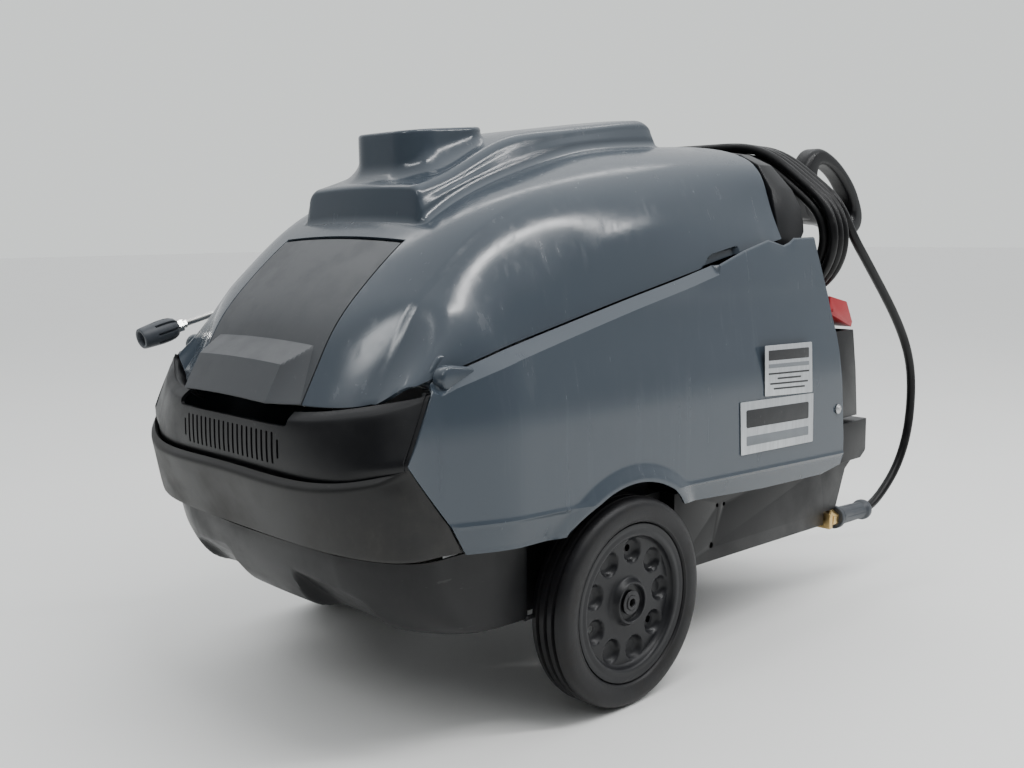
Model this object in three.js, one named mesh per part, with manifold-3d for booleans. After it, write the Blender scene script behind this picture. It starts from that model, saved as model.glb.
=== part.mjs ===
// A hot-water pressure washer on two wheels and one braked castor. Millimetres, +Z up.
// The row frame's origin is the centre of the footprint on the floor. +X is the side with the outlet,
// +Y is the operator end and -Y is the bumper end.
// Parts are drawn with y measured from the wheel axle; the group "machine" carries them to the row frame.
import * as THREE from "three";
import { mergeVertices } from "three/addons/utils/BufferGeometryUtils.js";
import Module from "manifold-3d";

const wasm = await Module();
wasm.setup();

// ---- driving dimensions -------------------------------------------------------------------------------
const AXLE_Y = -217.5; // axle behind the middle of the footprint
const AXLE_Z = 146; // wheel radius, so the axle's height
const WIDTH = 690; // over the two wheels
const FACE = WIDTH / 2; // outer face of the tyres
const TYRE_WIDTH = 62;
const RIM_RADIUS = 111.5;
const WHEEL_SIDES = 32;
const AXLE_RADIUS = 10;
const TUB_HALF = 290; // half width of the black tub
const WALL = 5; // moulded wall
const HOOD_WALL = 4;
const COVER_HALF = 138; // half width of the service cover with its gap
const CHIMNEY = { y: -80, half: 76, corner: 45, front: 790, rear: 802 };
const HOOD_PIVOT = { y: -290, z: 481 };
const COVER_PIVOT = { y: -223.5, z: 641 };
const CASTOR = { y: 500, radius: 50, width: 32, trail: 30 };
const HOSE_RADIUS = 8;
const LANCE = { x: -318, y: -372, z: 494, slope: 0.2553 };
const GAP = 0.5;

// ---- solids -------------------------------------------------------------------------------------------
function solid(geometry) {
  const bare = geometry.index ? geometry.toNonIndexed() : geometry.clone();
  const only = new THREE.BufferGeometry().setAttribute("position", bare.getAttribute("position"));
  const merged = mergeVertices(only, 1e-3);
  const vertProperties = new Float32Array(merged.attributes.position.array);
  const triVerts = new Uint32Array(merged.index.array);
  const made = new wasm.Manifold(new wasm.Mesh({ numProp: 3, vertProperties, triVerts }));
  if (made.volume() >= 0) return made;
  // Drawn inside out: turn every face round.
  for (let i = 0; i < triVerts.length; i += 3) {
    [triVerts[i + 1], triVerts[i + 2]] = [triVerts[i + 2], triVerts[i + 1]];
  }
  return new wasm.Manifold(new wasm.Mesh({ numProp: 3, vertProperties, triVerts }));
}

function geometryOf(manifold) {
  const mesh = manifold.getMesh();
  const geometry = new THREE.BufferGeometry();
  geometry.setAttribute("position", new THREE.BufferAttribute(new Float32Array(mesh.vertProperties), 3));
  geometry.setIndex(new THREE.BufferAttribute(new Uint32Array(mesh.triVerts), 1));
  geometry.computeVertexNormals();
  return geometry;
}

const join = (first, ...rest) => rest.reduce((a, b) => a.add(b), first);
const cut = (first, ...rest) => rest.reduce((a, b) => a.subtract(b), first);

function box(x0, x1, y0, y1, z0, z1) {
  const geometry = new THREE.BoxGeometry(x1 - x0, y1 - y0, z1 - z0);
  geometry.translate((x0 + x1) / 2, (y0 + y1) / 2, (z0 + z1) / 2);
  return solid(geometry);
}

// A cylinder, or a cone with a second radius, from one point to another.
function rod(from, to, radius, sides = 24, endRadius = radius) {
  const a = new THREE.Vector3(...from);
  const b = new THREE.Vector3(...to);
  const along = b.clone().sub(a);
  const geometry = new THREE.CylinderGeometry(endRadius, radius, along.length(), sides);
  geometry.applyQuaternion(
    new THREE.Quaternion().setFromUnitVectors(new THREE.Vector3(0, 1, 0), along.clone().normalize()),
  );
  geometry.translate(...a.add(b).multiplyScalar(0.5).toArray());
  return solid(geometry);
}

// A profile of [radius, along] pairs turned about the X axis, at height z over the point y.
function turnedX(profile, x, y, z, sides = 40) {
  const points = profile.map(([r, h]) => new THREE.Vector2(r, h));
  const geometry = new THREE.LatheGeometry(points, sides);
  geometry.rotateZ(-Math.PI / 2);
  geometry.translate(x, y, z);
  return solid(geometry);
}

// A closed outline of [u, v] points as a THREE.Shape.
function outline(points) {
  return new THREE.Shape(points.map(([u, v]) => new THREE.Vector2(u, v)));
}

// A rectangle centred on (u, v) with rounded corners.
function rounded(u, v, halfU, halfV, r) {
  const shape = new THREE.Shape();
  shape.moveTo(u - halfU + r, v - halfV);
  shape.lineTo(u + halfU - r, v - halfV);
  shape.absarc(u + halfU - r, v - halfV + r, r, -Math.PI / 2, 0);
  shape.lineTo(u + halfU, v + halfV - r);
  shape.absarc(u + halfU - r, v + halfV - r, r, 0, Math.PI / 2);
  shape.lineTo(u - halfU + r, v + halfV);
  shape.absarc(u - halfU + r, v + halfV - r, r, Math.PI / 2, Math.PI);
  shape.lineTo(u - halfU, v - halfV + r);
  shape.absarc(u - halfU + r, v - halfV + r, r, Math.PI, 1.5 * Math.PI);
  return shape;
}

// Extrudes a plan (x, y) upwards from z0 to z1.
function plan(shape, z0, z1, curve = 5) {
  const geometry = new THREE.ExtrudeGeometry(shape, {
    depth: z1 - z0,
    bevelEnabled: false,
    curveSegments: curve,
  });
  geometry.translate(0, 0, z0);
  return solid(geometry);
}

// Extrudes a side view (y, z) across from x0 to x1.
function side(shape, x0, x1, curve = 5) {
  const geometry = new THREE.ExtrudeGeometry(shape, {
    depth: x1 - x0,
    bevelEnabled: false,
    curveSegments: curve,
  });
  const turn = new THREE.Matrix4().set(0, 0, 1, x0, 1, 0, 0, 0, 0, 1, 0, 0, 0, 0, 0, 1);
  geometry.applyMatrix4(turn);
  return solid(geometry);
}

// A round bar of the given section radii along a smooth curve through points.
function bar(points, radiusU, radiusV, steps, sides = 10, closed = false) {
  const curve = new THREE.CatmullRomCurve3(
    points.map((p) => new THREE.Vector3(...p)),
    closed,
    "centripetal",
  );
  const shape = new THREE.Shape();
  for (let i = 0; i < sides; i++) {
    const a = (2 * Math.PI * i) / sides;
    const u = radiusU * Math.cos(a);
    const v = radiusV * Math.sin(a);
    if (i === 0) shape.moveTo(u, v);
    else shape.lineTo(u, v);
  }
  return solid(new THREE.ExtrudeGeometry(shape, { steps, bevelEnabled: false, extrudePath: curve }));
}

// A grid of points [row][column] thickened inwards into a closed shell.
function shell(grid, wall) {
  const rows = grid.length;
  const columns = grid[0].length;
  const at = (i, j) => grid[Math.min(rows - 1, Math.max(0, i))][Math.min(columns - 1, Math.max(0, j))];
  const points = [];
  for (const layer of [0, 1]) {
    for (let i = 0; i < rows; i++) {
      for (let j = 0; j < columns; j++) {
        const along = at(i + 1, j).clone().sub(at(i - 1, j));
        const across = at(i, j + 1).clone().sub(at(i, j - 1));
        const normal = across.cross(along).normalize();
        points.push(at(i, j).clone().addScaledVector(normal, -layer * wall));
      }
    }
  }
  const index = [];
  const id = (layer, i, j) => layer * rows * columns + i * columns + j;
  const quad = (a, b, c, d) => index.push(a, b, c, a, c, d);
  for (let i = 0; i + 1 < rows; i++) {
    for (let j = 0; j + 1 < columns; j++) {
      quad(id(0, i, j), id(0, i, j + 1), id(0, i + 1, j + 1), id(0, i + 1, j));
      quad(id(1, i, j), id(1, i + 1, j), id(1, i + 1, j + 1), id(1, i, j + 1));
    }
    quad(id(0, i, 0), id(0, i + 1, 0), id(1, i + 1, 0), id(1, i, 0));
    const e = columns - 1;
    quad(id(0, i, e), id(1, i, e), id(1, i + 1, e), id(0, i + 1, e));
  }
  for (let j = 0; j + 1 < columns; j++) {
    quad(id(0, 0, j), id(1, 0, j), id(1, 0, j + 1), id(0, 0, j + 1));
    const e = rows - 1;
    quad(id(0, e, j), id(0, e, j + 1), id(1, e, j + 1), id(1, e, j));
  }
  const geometry = new THREE.BufferGeometry().setFromPoints(points);
  geometry.setIndex(index);
  return solid(geometry);
}

// A skin between stacked closed rings of the same count, capped at both ends.
function loft(rings) {
  const count = rings[0].length;
  const points = rings.flat();
  const index = [];
  for (let i = 0; i + 1 < rings.length; i++) {
    for (let j = 0; j < count; j++) {
      const a = i * count + j;
      const b = i * count + ((j + 1) % count);
      index.push(a, b, b + count, a, b + count, a + count);
    }
  }
  for (let j = 1; j + 1 < count; j++) {
    index.push(0, j + 1, j);
    const e = (rings.length - 1) * count;
    index.push(e, e + j, e + j + 1);
  }
  const geometry = new THREE.BufferGeometry().setFromPoints(points);
  geometry.setIndex(index);
  return solid(geometry);
}

// ---- materials and the assembly -----------------------------------------------------------------------
const machine = new THREE.Group();
machine.position.y = AXLE_Y;
const group = new THREE.Group();
group.add(machine);

const LOOKS = {
  grey: [0x59636c, 0.28, 0],
  matt_grey: [0x6b7176, 0.5, 0],
  black: [0x232427, 0.55, 0],
  tyre: [0x1b1b1c, 0.85, 0],
  steel: [0xb9bcc0, 0.3, 1],
  brass: [0xb08d45, 0.35, 1],
  red: [0xa0252c, 0.4, 0],
  hose: [0x141416, 0.5, 0],
  coupling: [0x6f7b88, 0.5, 0],
  cast: [0x8b8f92, 0.6, 0.6],
  tank: [0xc9c7bd, 0.5, 0],
  plate: [0xa7abad, 0.4, 0.4],
};

function add(name, made, look) {
  const [color, roughness, metalness] = LOOKS[look];
  const material = new THREE.MeshStandardMaterial({ color, roughness, metalness });
  const mesh = new THREE.Mesh(geometryOf(made), material);
  mesh.name = name;
  machine.add(mesh);
}

const SIDES = [
  ["right", 1],
  ["left", -1],
];
const mirrored = (made, sign) => (sign > 0 ? made : made.mirror([1, 0, 0]));

// ---- hood surface -------------------------------------------------------------------------------------
// Three rails run from the bumper end to the operator end: the edge of the roof, the shoulder and the belt.
const ROOF = [
  [138, -387, 444],
  [138, -361, 491],
  [138, -336, 533],
  [138, -289, 584],
  [138, -229, 635],
  [136, -150, 685],
  [134, -40, 726],
  [130, 90, 760],
  [125, 250, 778],
  [120, 410, 787],
];
const SHOULDER = [
  [237, -347, 452],
  [222, -319, 494],
  [226, -288, 546],
  [227, -255, 583],
  [230, -192, 634],
  [235, -122, 675],
  [240, -30, 706],
  [240, 100, 730],
  [242, 250, 745],
  [244, 410, 753],
];
const BELT = [
  [281, -323, 474],
  [290, -289, 486],
  [298, -245, 499],
  [300, -200, 511],
  [300, -140, 524],
  [300, -60, 541],
  [300, 30, 560],
  [300, 140, 582],
  [300, 270, 608],
  [300, 410, 634],
];
const rail = (points) => new THREE.CatmullRomCurve3(points.map((p) => new THREE.Vector3(...p)));
const RAILS = [ROOF, SHOULDER, BELT].map(rail);
const SIDE_BULGE = 15;

// The half rib at t, from the middle of the hood to the belt.
function halfRib(t, columns) {
  const [roof, shoulder, belt] = RAILS.map((curve) => curve.getPoint(t));
  const middle = new THREE.Vector3(0, roof.y - 5 * (1 - t), roof.z + 5);
  const flank = shoulder.clone().lerp(belt, 0.5).add(new THREE.Vector3(SIDE_BULGE, 0, 9));
  const curve = new THREE.CatmullRomCurve3([middle, roof, shoulder, flank, belt], false, "centripetal");
  return curve.getPoints(columns);
}

function hoodGrid(rows, columns) {
  const grid = [];
  for (let i = 0; i <= rows; i++) {
    const half = halfRib(i / rows, columns);
    const mirror = half.slice(1).map((p) => new THREE.Vector3(-p.x, p.y, p.z));
    grid.push([...mirror.reverse(), ...half]);
  }
  return grid;
}

// ---- hump and chimney ---------------------------------------------------------------------------------
// Each station of the hump: y, half width at its foot, height of the foot's hidden edge, of its side's top
// and of its crown.
const HUMP = [
  [-192, 134, 640, 690, 714],
  [-110, 131, 680, 722, 742],
  [-15, 127, 710, 762, 785],
  [70, 123, 740, 783, 802],
  [180, 116, 755, 800, 816],
  [270, 110, 758, 812, 827],
  [318, 107, 760, 815, 831],
  [334, 106, 760, 782, 788],
];

function humpRing([y, half, foot, edge, crown], inset) {
  const w = half - inset;
  const profile = [
    [w, foot],
    [w - 6, edge - inset],
    [w - 16, (edge + crown) / 2 - inset],
    [w - 40, crown - 3 - inset],
    [0, crown - inset],
  ];
  const mirror = profile.slice(0, -1).map(([x, z]) => [-x, z]);
  return [...profile, ...mirror.reverse()].map(([x, z]) => new THREE.Vector3(x, y, z));
}

function humpSolid(inset) {
  const stations = HUMP.map((s) => [...s]);
  stations[0][0] += inset;
  stations[stations.length - 1][0] -= inset;
  stations[stations.length - 2][0] -= inset;
  return loft(stations.map((s) => humpRing(s, inset)));
}

function chimneyPrism(half, corner, z0) {
  const { y, front, rear } = CHIMNEY;
  const tall = plan(rounded(0, y, half, half, corner), z0, rear + 40);
  const lid = side(
    outline([
      [y - 200, z0 - 10],
      [y + 200, z0 - 10],
      [y + 200, rear + ((rear - front) * (200 - half)) / (2 * half)],
      [y - 200, front - ((rear - front) * (200 - half)) / (2 * half)],
    ]),
    -200,
    200,
  );
  return tall.intersect(lid);
}

function hood() {
  const skin = shell(hoodGrid(16, 8), HOOD_WALL);
  const humpOuter = humpSolid(0);
  const humpInner = humpSolid(HOOD_WALL);
  const chimneyOuter = chimneyPrism(CHIMNEY.half, CHIMNEY.corner, 715);
  const chimneyInner = chimneyPrism(CHIMNEY.half - 8, CHIMNEY.corner - 8, 600);
  const taller = box(-150, 150, -260, 200, 770, 830);
  const window = box(-COVER_HALF, COVER_HALF, -450, -222, 400, 639.5);
  let made = join(skin, humpOuter, chimneyOuter);
  made = cut(made, humpInner, chimneyInner, chimneyInner.intersect(taller).translate([0, 0, 12]), window);
  // What the hump's hidden foot leaves inside the roof.
  made = cut(made, box(-100, 100, -150, 300, 600, 722));
  for (const [, sign] of SIDES) {
    const { y, z } = HOOD_PIVOT;
    const knuckle = cut(rod([264, y, z], [287, y, z], 15, 16), rod([200, y, z], [300, y, z], 5.3, 8));
    made = join(made, mirrored(knuckle, sign));
  }
  return made.decompose().sort((a, b) => b.volume() - a.volume())[0];
}
add("hood", hood(), "grey");

// ---- service cover with its scoop ---------------------------------------------------------------------
function serviceCover() {
  const half = COVER_HALF - 2.5;
  const skin = shell(hoodGrid(16, 8), HOOD_WALL).intersect(box(-half, half, -450, -225, 400, 632));
  const scoop = [
    [-352, 510],
    [-390, 490],
    [-413, 445],
    [-388, 445],
    [-362, 492],
  ];
  const wedge = side(outline(scoop), -110, 110);
  // Two short arms reach under the top of the window; the pivot lies in the seam outside them.
  const { y, z } = COVER_PIVOT;
  const arm = outline([
    [y - 12.5, z - 14],
    [y + 7, z - 9.5],
    [y + 7, z - 13],
    [y - 12.5, z - 30],
  ]);
  return join(skin, wedge, side(arm, 112, 128), side(arm, -128, -112));
}
add("service_cover", serviceCover(), "matt_grey");

// ---- bumper -------------------------------------------------------------------------------------------
// The right half of a plan at one level, smoothed, and with its mirror image the whole of it.
function smoothHalf(half, columns) {
  const points = half.map((p) => new THREE.Vector3(...p));
  return new THREE.CatmullRomCurve3(points, false, "centripetal").getPoints(columns);
}
function wholePlan(half) {
  const mirror = half.slice(1).map((p) => new THREE.Vector3(-p.x, p.y, p.z));
  return [...mirror.reverse(), ...half];
}

// A wall round the bumper end through half plans at rising heights.
const BUMPER_COLUMNS = 11;
const bumperWall = (levels) => shell(levels.map((half) => wholePlan(smoothHalf(half, BUMPER_COLUMNS))), WALL);

// All that lies behind the slanting front edges of the side panels.
function behindPanels() {
  const edge = outline([
    [-360, 388],
    [-319, 474],
    [0, 480],
    [0, 266],
    [-277, 266],
  ]);
  return join(side(edge, 275, 400), side(edge, -400, -275));
}

const UPPER_LEVELS = [
  [
    [0, -402, 346],
    [160, -398, 348],
    [250, -375, 355],
    [300, -340, 366],
    [303, -330, 372],
  ],
  [
    [0, -412, 362],
    [160, -408, 360],
    [255, -384, 366],
    [304, -352, 380],
    [307, -345, 386],
  ],
  [
    [0, -410, 424],
    [130, -408, 424],
    [211, -388, 431],
    [275, -353, 447],
    [303, -322, 462],
  ],
  [
    [0, -405, 431],
    [128, -402, 431],
    [208, -382, 439],
    [271, -348, 453],
    [299, -321, 466],
  ],
  [
    [0, -398, 436],
    [125, -395, 436],
    [204, -376, 444],
    [266, -344, 457],
    [295, -320, 468],
  ],
];
const LOWER_LEVELS = [
  [
    [0, -398, 270],
    [160, -395, 270],
    [256, -375, 270],
    [296, -340, 270],
    [300, -280, 272],
  ],
  [
    [0, -400, 276],
    [160, -398, 276],
    [260, -378, 276],
    [300, -342, 277],
    [303, -284, 278],
  ],
  [
    [0, -424, 344],
    [160, -420, 343],
    [256, -393, 352],
    [306, -362, 368],
    [317, -352, 374],
  ],
  [
    [0, -425, 352],
    [160, -421, 351],
    [256, -394, 361],
    [306, -363, 378],
    [317, -353, 384],
  ],
  [
    [0, -417, 359],
    [158, -413, 358],
    [254, -388, 368],
    [303, -357, 384],
    [313, -350, 388],
  ],
];

function bumperUpper() {
  return cut(bumperWall(UPPER_LEVELS), box(-135, 135, -450, -380, 419, 460), behindPanels());
}
add("bumper_upper", bumperUpper(), "black");

// The lower tier stands proud of the upper one, so all that lies within the upper tier's plan is cut away.
function bumperLower() {
  const within = loft(
    UPPER_LEVELS.slice(0, 3).map((half) => {
      const grown = wholePlan(smoothHalf(half, BUMPER_COLUMNS)).map(
        (p) => new THREE.Vector3(p.x * 1.004, p.y * 1.003, p.z),
      );
      const { x, z } = grown[grown.length - 1];
      return [new THREE.Vector3(-x, 0, z), ...grown, new THREE.Vector3(x, 0, z)];
    }),
  );
  const pieces = cut(bumperWall(LOWER_LEVELS), within, behindPanels()).decompose();
  return pieces.sort((a, b) => b.volume() - a.volume())[0];
}
add("bumper_lower", bumperLower(), "black");

// ---- tub ----------------------------------------------------------------------------------------------
const TUB_TOP = 262;
const TUB_REAR_TOP = 238;
function tubPlan(inset) {
  const h = TUB_HALF - inset;
  const shape = new THREE.Shape();
  shape.moveTo(-h, 668 - inset);
  shape.lineTo(-h, -300);
  shape.quadraticCurveTo(-h, -358 + inset, -180, -379 + inset);
  shape.quadraticCurveTo(0, -396 + inset, 180, -379 + inset);
  shape.quadraticCurveTo(h, -358 + inset, h, -300);
  shape.lineTo(h, 668 - inset);
  return shape;
}

function tub() {
  const outer = plan(tubPlan(0), 120, TUB_TOP, 6).intersect(
    side(
      outline([
        [-400, TUB_TOP],
        [-386, 226],
        [-364, 188],
        [-332, 164],
        [-290, 152],
        [200, 141],
        [592, 131],
        [623, 159],
        [651, 222],
        [668, 233],
        [668, TUB_REAR_TOP],
        [566, TUB_REAR_TOP],
        [566, TUB_TOP],
      ]),
      -400,
      400,
    ),
  );
  const inner = plan(tubPlan(WALL), 120, 400, 6).intersect(
    side(
      outline([
        [-395, 300],
        [-379, 228],
        [-359, 193],
        [-330, 170],
        [-290, 158],
        [200, 147],
        [589, 137],
        [618, 162],
        [646, 226],
        [662, 238],
        [662, 300],
      ]),
      -400,
      400,
    ),
  );
  const across = (from, s) => [Math.min(s * from, s * 400), Math.max(s * from, s * 400)];
  const wells = SIDES.map(([, s]) => box(...across(262, s), -154, 154, 100, 300));
  const wellWalls = SIDES.map(([, s]) => box(...across(256, s), -160, 160, 100, 400));
  // The axle's tunnel across the floor.
  const tunnel = box(-400, 400, -16, 16, 100, AXLE_Z + 14);
  const tunnelWall = box(-400, 400, -22, 22, 100, AXLE_Z + 20);
  // Two arched hollows under the bumper, each with a sloping back.
  const hollow = (grow) =>
    SIDES.map(([, s]) => {
      const arch = new THREE.ExtrudeGeometry(rounded(s * 145, 180, 82 + grow, 42 + grow, 34), {
        depth: 150,
        bevelEnabled: false,
        curveSegments: 4,
      });
      arch.rotateX(Math.PI / 2);
      arch.translate(0, -290, 0);
      const slope = outline([
        [-440, 240 + grow],
        [-386 + grow, 228 + grow],
        [-300 + grow, 140 + grow],
        [-300 + grow, 100],
        [-440, 100],
      ]);
      return solid(arch).intersect(side(slope, -400, 400));
    });
  const holes = [
    [248, 165, 5],
    [262, 226, 3.5],
    [280, 225, 3.5],
  ].flatMap(([y, z, r]) => SIDES.map(([, s]) => rod([s * 260, y, z], [s * 310, y, z], r, 10)));
  const pocket = cut(inner, ...wellWalls, tunnelWall, ...hollow(WALL), box(259, 400, 576, 700, 100, 160));
  return cut(outer, pocket, ...wells, tunnel, ...hollow(0), ...holes, box(265, 400, 582, 700, 100, 154));
}
add("chassis_tub", tub(), "black");

// ---- side panels --------------------------------------------------------------------------------------
const ARCH = 168; // wheel arch radius about the axle
const ARCH_FOOT = 262; // height where the arch meets the panel's lower edge
const ARCH_HALF = Math.sqrt(ARCH ** 2 - (ARCH_FOOT - AXLE_Z) ** 2);
const PANEL_UPPER = [
  [-357, 391],
  [-316, 471],
  [-289, 484],
  [-245, 497],
  [-200, 509],
  [-140, 522],
  [-60, 539],
  [30, 558],
  [140, 580],
  [217, 597],
  [286, 617],
  [357, 633],
  [402, 620],
  [424, 634],
  [489, 636],
  [505, 580],
  [521, 543],
  [537, 478],
  [548, 380],
  [556, 300],
  [562, 256],
];
const PANEL_LOWER = [
  [-357, 385],
  [-273, 270],
  [-200, 263],
  [-ARCH_HALF, ARCH_FOOT],
  [ARCH_HALF, ARCH_FOOT],
  [334, 246],
  [510, 240],
  [562, 250],
];

// The height at y on a line of [y, z] points.
function heightAt(line, y) {
  const i = Math.max(1, line.findIndex(([end]) => end >= y));
  const [[y0, z0], [y1, z1]] = [line[i - 1], line[i]];
  return z0 + ((z1 - z0) * (y - y0)) / (y1 - y0);
}

// How far out the panel's outer face stands at a point of the side view.
function panelOut(y, z) {
  const { smoothstep, clamp } = THREE.MathUtils;
  const crease = 308 - (36 * (y + 314)) / 859;
  const lean = 18 * smoothstep(z, 400, 560) + 8 * smoothstep(z, 560, 640);
  const tuck = 14 * clamp((crease - z) / 35, 0, 1);
  const nose = 30 * smoothstep(-y, 200, 365);
  const flare = 1 - smoothstep(Math.hypot(y, z - AXLE_Z), ARCH, ARCH + 36);
  const flat = 338 - lean - tuck - nose;
  return flat + (FACE - 0.5 - flat) * flare;
}

function sidePanel() {
  const arch = [];
  for (let i = 1; i < 8; i++) arch.push(-ARCH_HALF * Math.cos((i * Math.PI) / 8));
  const stations = [...PANEL_UPPER, ...PANEL_LOWER].map(([y]) => y).concat(arch);
  stations.push(-340, -160);
  const rows = [...new Set(stations)].sort((a, b) => a - b);
  const grid = rows.map((y) => {
    const upper = heightAt(PANEL_UPPER, y);
    const inArch = Math.abs(y) < ARCH_HALF;
    const lower = inArch ? AXLE_Z + Math.sqrt(ARCH ** 2 - y ** 2) : heightAt(PANEL_LOWER, y);
    const column = [];
    const tall = upper - lower;
    const low = Math.min(30, tall / 4);
    const high = Math.min(12, tall / 4);
    const span = tall - low - high;
    for (const z of [lower, lower + low, lower + low + span / 3, lower + low + (2 * span) / 3, upper - high]) {
      column.push(new THREE.Vector3(panelOut(y, z), y, z));
    }
    // The top edge lies along the hood's belt.
    const edge = 307.5 - 16 * THREE.MathUtils.smoothstep(-y, 215, 330);
    column.push(new THREE.Vector3(Math.min(edge, panelOut(y, upper)), y, upper));
    return column.reverse();
  });
  const { y, z } = HOOD_PIVOT;
  return join(shell(grid, WALL), rod([294, y, z], [312, y, z], 17, 16));
}
for (const [name, sign] of SIDES) add("side_panel_" + name, mirrored(sidePanel(), sign), "grey");

// ---- wheels -------------------------------------------------------------------------------------------
function tyre() {
  const r = AXLE_Z;
  const w = TYRE_WIDTH;
  const profile = [
    [RIM_RADIUS, -4],
    [r - 10, 0],
    [r - 2, -8],
    [r, -14],
    [r, -w + 14],
    [r - 2, -w + 8],
    [r - 10, -w],
    [RIM_RADIUS, -w + 4],
    [RIM_RADIUS - 6, -w / 2],
    [RIM_RADIUS, -4],
  ];
  return turnedX(profile, FACE, 0, AXLE_Z, WHEEL_SIDES);
}

function rim() {
  const e = RIM_RADIUS - 0.5;
  const profile = [
    [AXLE_RADIUS + 0.5, -10],
    [24, -10],
    [26, -16],
    [90, -16],
    [93, -5],
    [e, -5.5],
    [e - 6, -TYRE_WIDTH / 2],
    [e, -TYRE_WIDTH + 5.5],
    [94, -TYRE_WIDTH + 6],
    [88, -24],
    [30, -24],
    [28, -TYRE_WIDTH + 4],
    [AXLE_RADIUS + 0.5, -TYRE_WIDTH + 4],
    [AXLE_RADIUS + 0.5, -10],
  ];
  let made = turnedX(profile, FACE, 0, AXLE_Z, WHEEL_SIDES);
  const dimpleRing = 73;
  for (let i = 0; i < 9; i++) {
    const a = Math.PI / 2 + (i * 2 * Math.PI) / 9;
    const y = dimpleRing * Math.cos(a);
    const z = AXLE_Z + dimpleRing * Math.sin(a);
    made = cut(made, rod([FACE - 21, y, z], [FACE - 13, y, z], 9, 8, 19));
    if (i % 3 === 0) made = cut(made, rod([FACE - 30, y, z], [FACE, y, z], 5, 6));
  }
  return made;
}
for (const [name, sign] of SIDES) {
  add("tyre_" + name, mirrored(tyre(), sign), "tyre");
  add("rim_" + name, mirrored(rim(), sign), "black");
}

const AXLE_END = FACE - 6;
add(
  "axle",
  cut(
    rod([-AXLE_END, 0, AXLE_Z], [AXLE_END, 0, AXLE_Z], AXLE_RADIUS, 24),
    ...[-1, 1].map((s) => rod([s * (AXLE_END - 40), 0, AXLE_Z], [s * (AXLE_END + 5), 0, AXLE_Z], 6, 16)),
  ),
  "steel",
);
// Star-lock washers hold the rims on the axle.
for (const [name, sign] of SIDES) {
  const washer = cut(
    rod([FACE - 9.5, 0, AXLE_Z], [FACE - 7.5, 0, AXLE_Z], 17, 16),
    rod([FACE - 20, 0, AXLE_Z], [FACE + 5, 0, AXLE_Z], AXLE_RADIUS + 0.3, 16),
  );
  add("axle_washer_" + name, mirrored(washer, sign), "steel");
}

// ---- castor under the operator end --------------------------------------------------------------------
const CASTOR_TOP = 125;
const castorAxleY = CASTOR.y + CASTOR.trail;
add(
  "castor_plate",
  join(
    plan(rounded(0, CASTOR.y, 50, 42, 8), CASTOR_TOP, CASTOR_TOP + 4.5, 2),
    rod([0, CASTOR.y, CASTOR_TOP - 8], [0, CASTOR.y, CASTOR_TOP + 1], 24, 16),
  ),
  "steel",
);
function castorFork() {
  const top = CASTOR_TOP - 8 - GAP;
  const w = CASTOR.width / 2 + 2;
  const cheek = outline([
    [CASTOR.y - 26, top],
    [CASTOR.y + 26, top],
    [castorAxleY + 14, CASTOR.radius + 6],
    [castorAxleY + 8, CASTOR.radius - 12],
    [castorAxleY - 8, CASTOR.radius - 12],
    [castorAxleY - 22, CASTOR.radius + 20],
  ]);
  const crown = box(-w - 3, w + 3, CASTOR.y - 26, CASTOR.y + 26, top - 5, top);
  const pin = rod([-w - 6, castorAxleY, CASTOR.radius], [w + 6, castorAxleY, CASTOR.radius], 5, 16);
  return join(crown, side(cheek, -w - 3, -w), side(cheek, w, w + 3), pin);
}
add("castor_fork", castorFork(), "steel");
add(
  "castor_wheel",
  turnedX(
    [
      [5.4, -CASTOR.width / 2],
      [18, -CASTOR.width / 2],
      [CASTOR.radius - 6, -CASTOR.width / 2 + 1],
      [CASTOR.radius, -CASTOR.width / 2 + 7],
      [CASTOR.radius, CASTOR.width / 2 - 7],
      [CASTOR.radius - 6, CASTOR.width / 2 - 1],
      [18, CASTOR.width / 2],
      [5.4, CASTOR.width / 2],
      [5.4, -CASTOR.width / 2],
    ],
    0,
    castorAxleY,
    CASTOR.radius,
    24,
  ),
  "tyre",
);
const PEDAL = { y: CASTOR.y + 36, z: CASTOR_TOP - 13 };
add(
  "castor_brake_pedal",
  join(
    side(
      outline([
        [PEDAL.y, PEDAL.z - 4],
        [PEDAL.y + 56, PEDAL.z - 12],
        [PEDAL.y + 58, PEDAL.z - 7],
        [PEDAL.y, PEDAL.z + 3],
      ]),
      -20,
      20,
    ),
    rod([-22, PEDAL.y, PEDAL.z], [22, PEDAL.y, PEDAL.z], 5, 12),
  ),
  "red",
);

// ---- handle bow behind the hood -----------------------------------------------------------------------
const BOW_FRONT = 416;
const BOW_SECTION = [
  [250, 752],
  [275, 712],
  [287, 660],
  [290, 600],
  [288, 268],
];
function bowSection(inset) {
  const half = [[0, 790], [104, 788], [215, 770], ...BOW_SECTION].map(([x, z]) => [
    Math.max(0, x - inset),
    z - (z > 300 ? inset : 0),
  ]);
  const mirror = half.slice(1).map(([x, z]) => [-x, z]);
  const geometry = new THREE.ExtrudeGeometry(outline([...mirror.reverse(), ...half]), {
    depth: 150,
    bevelEnabled: false,
  });
  geometry.rotateX(Math.PI / 2);
  geometry.translate(0, BOW_FRONT + 150, 0);
  return solid(geometry);
}

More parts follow.
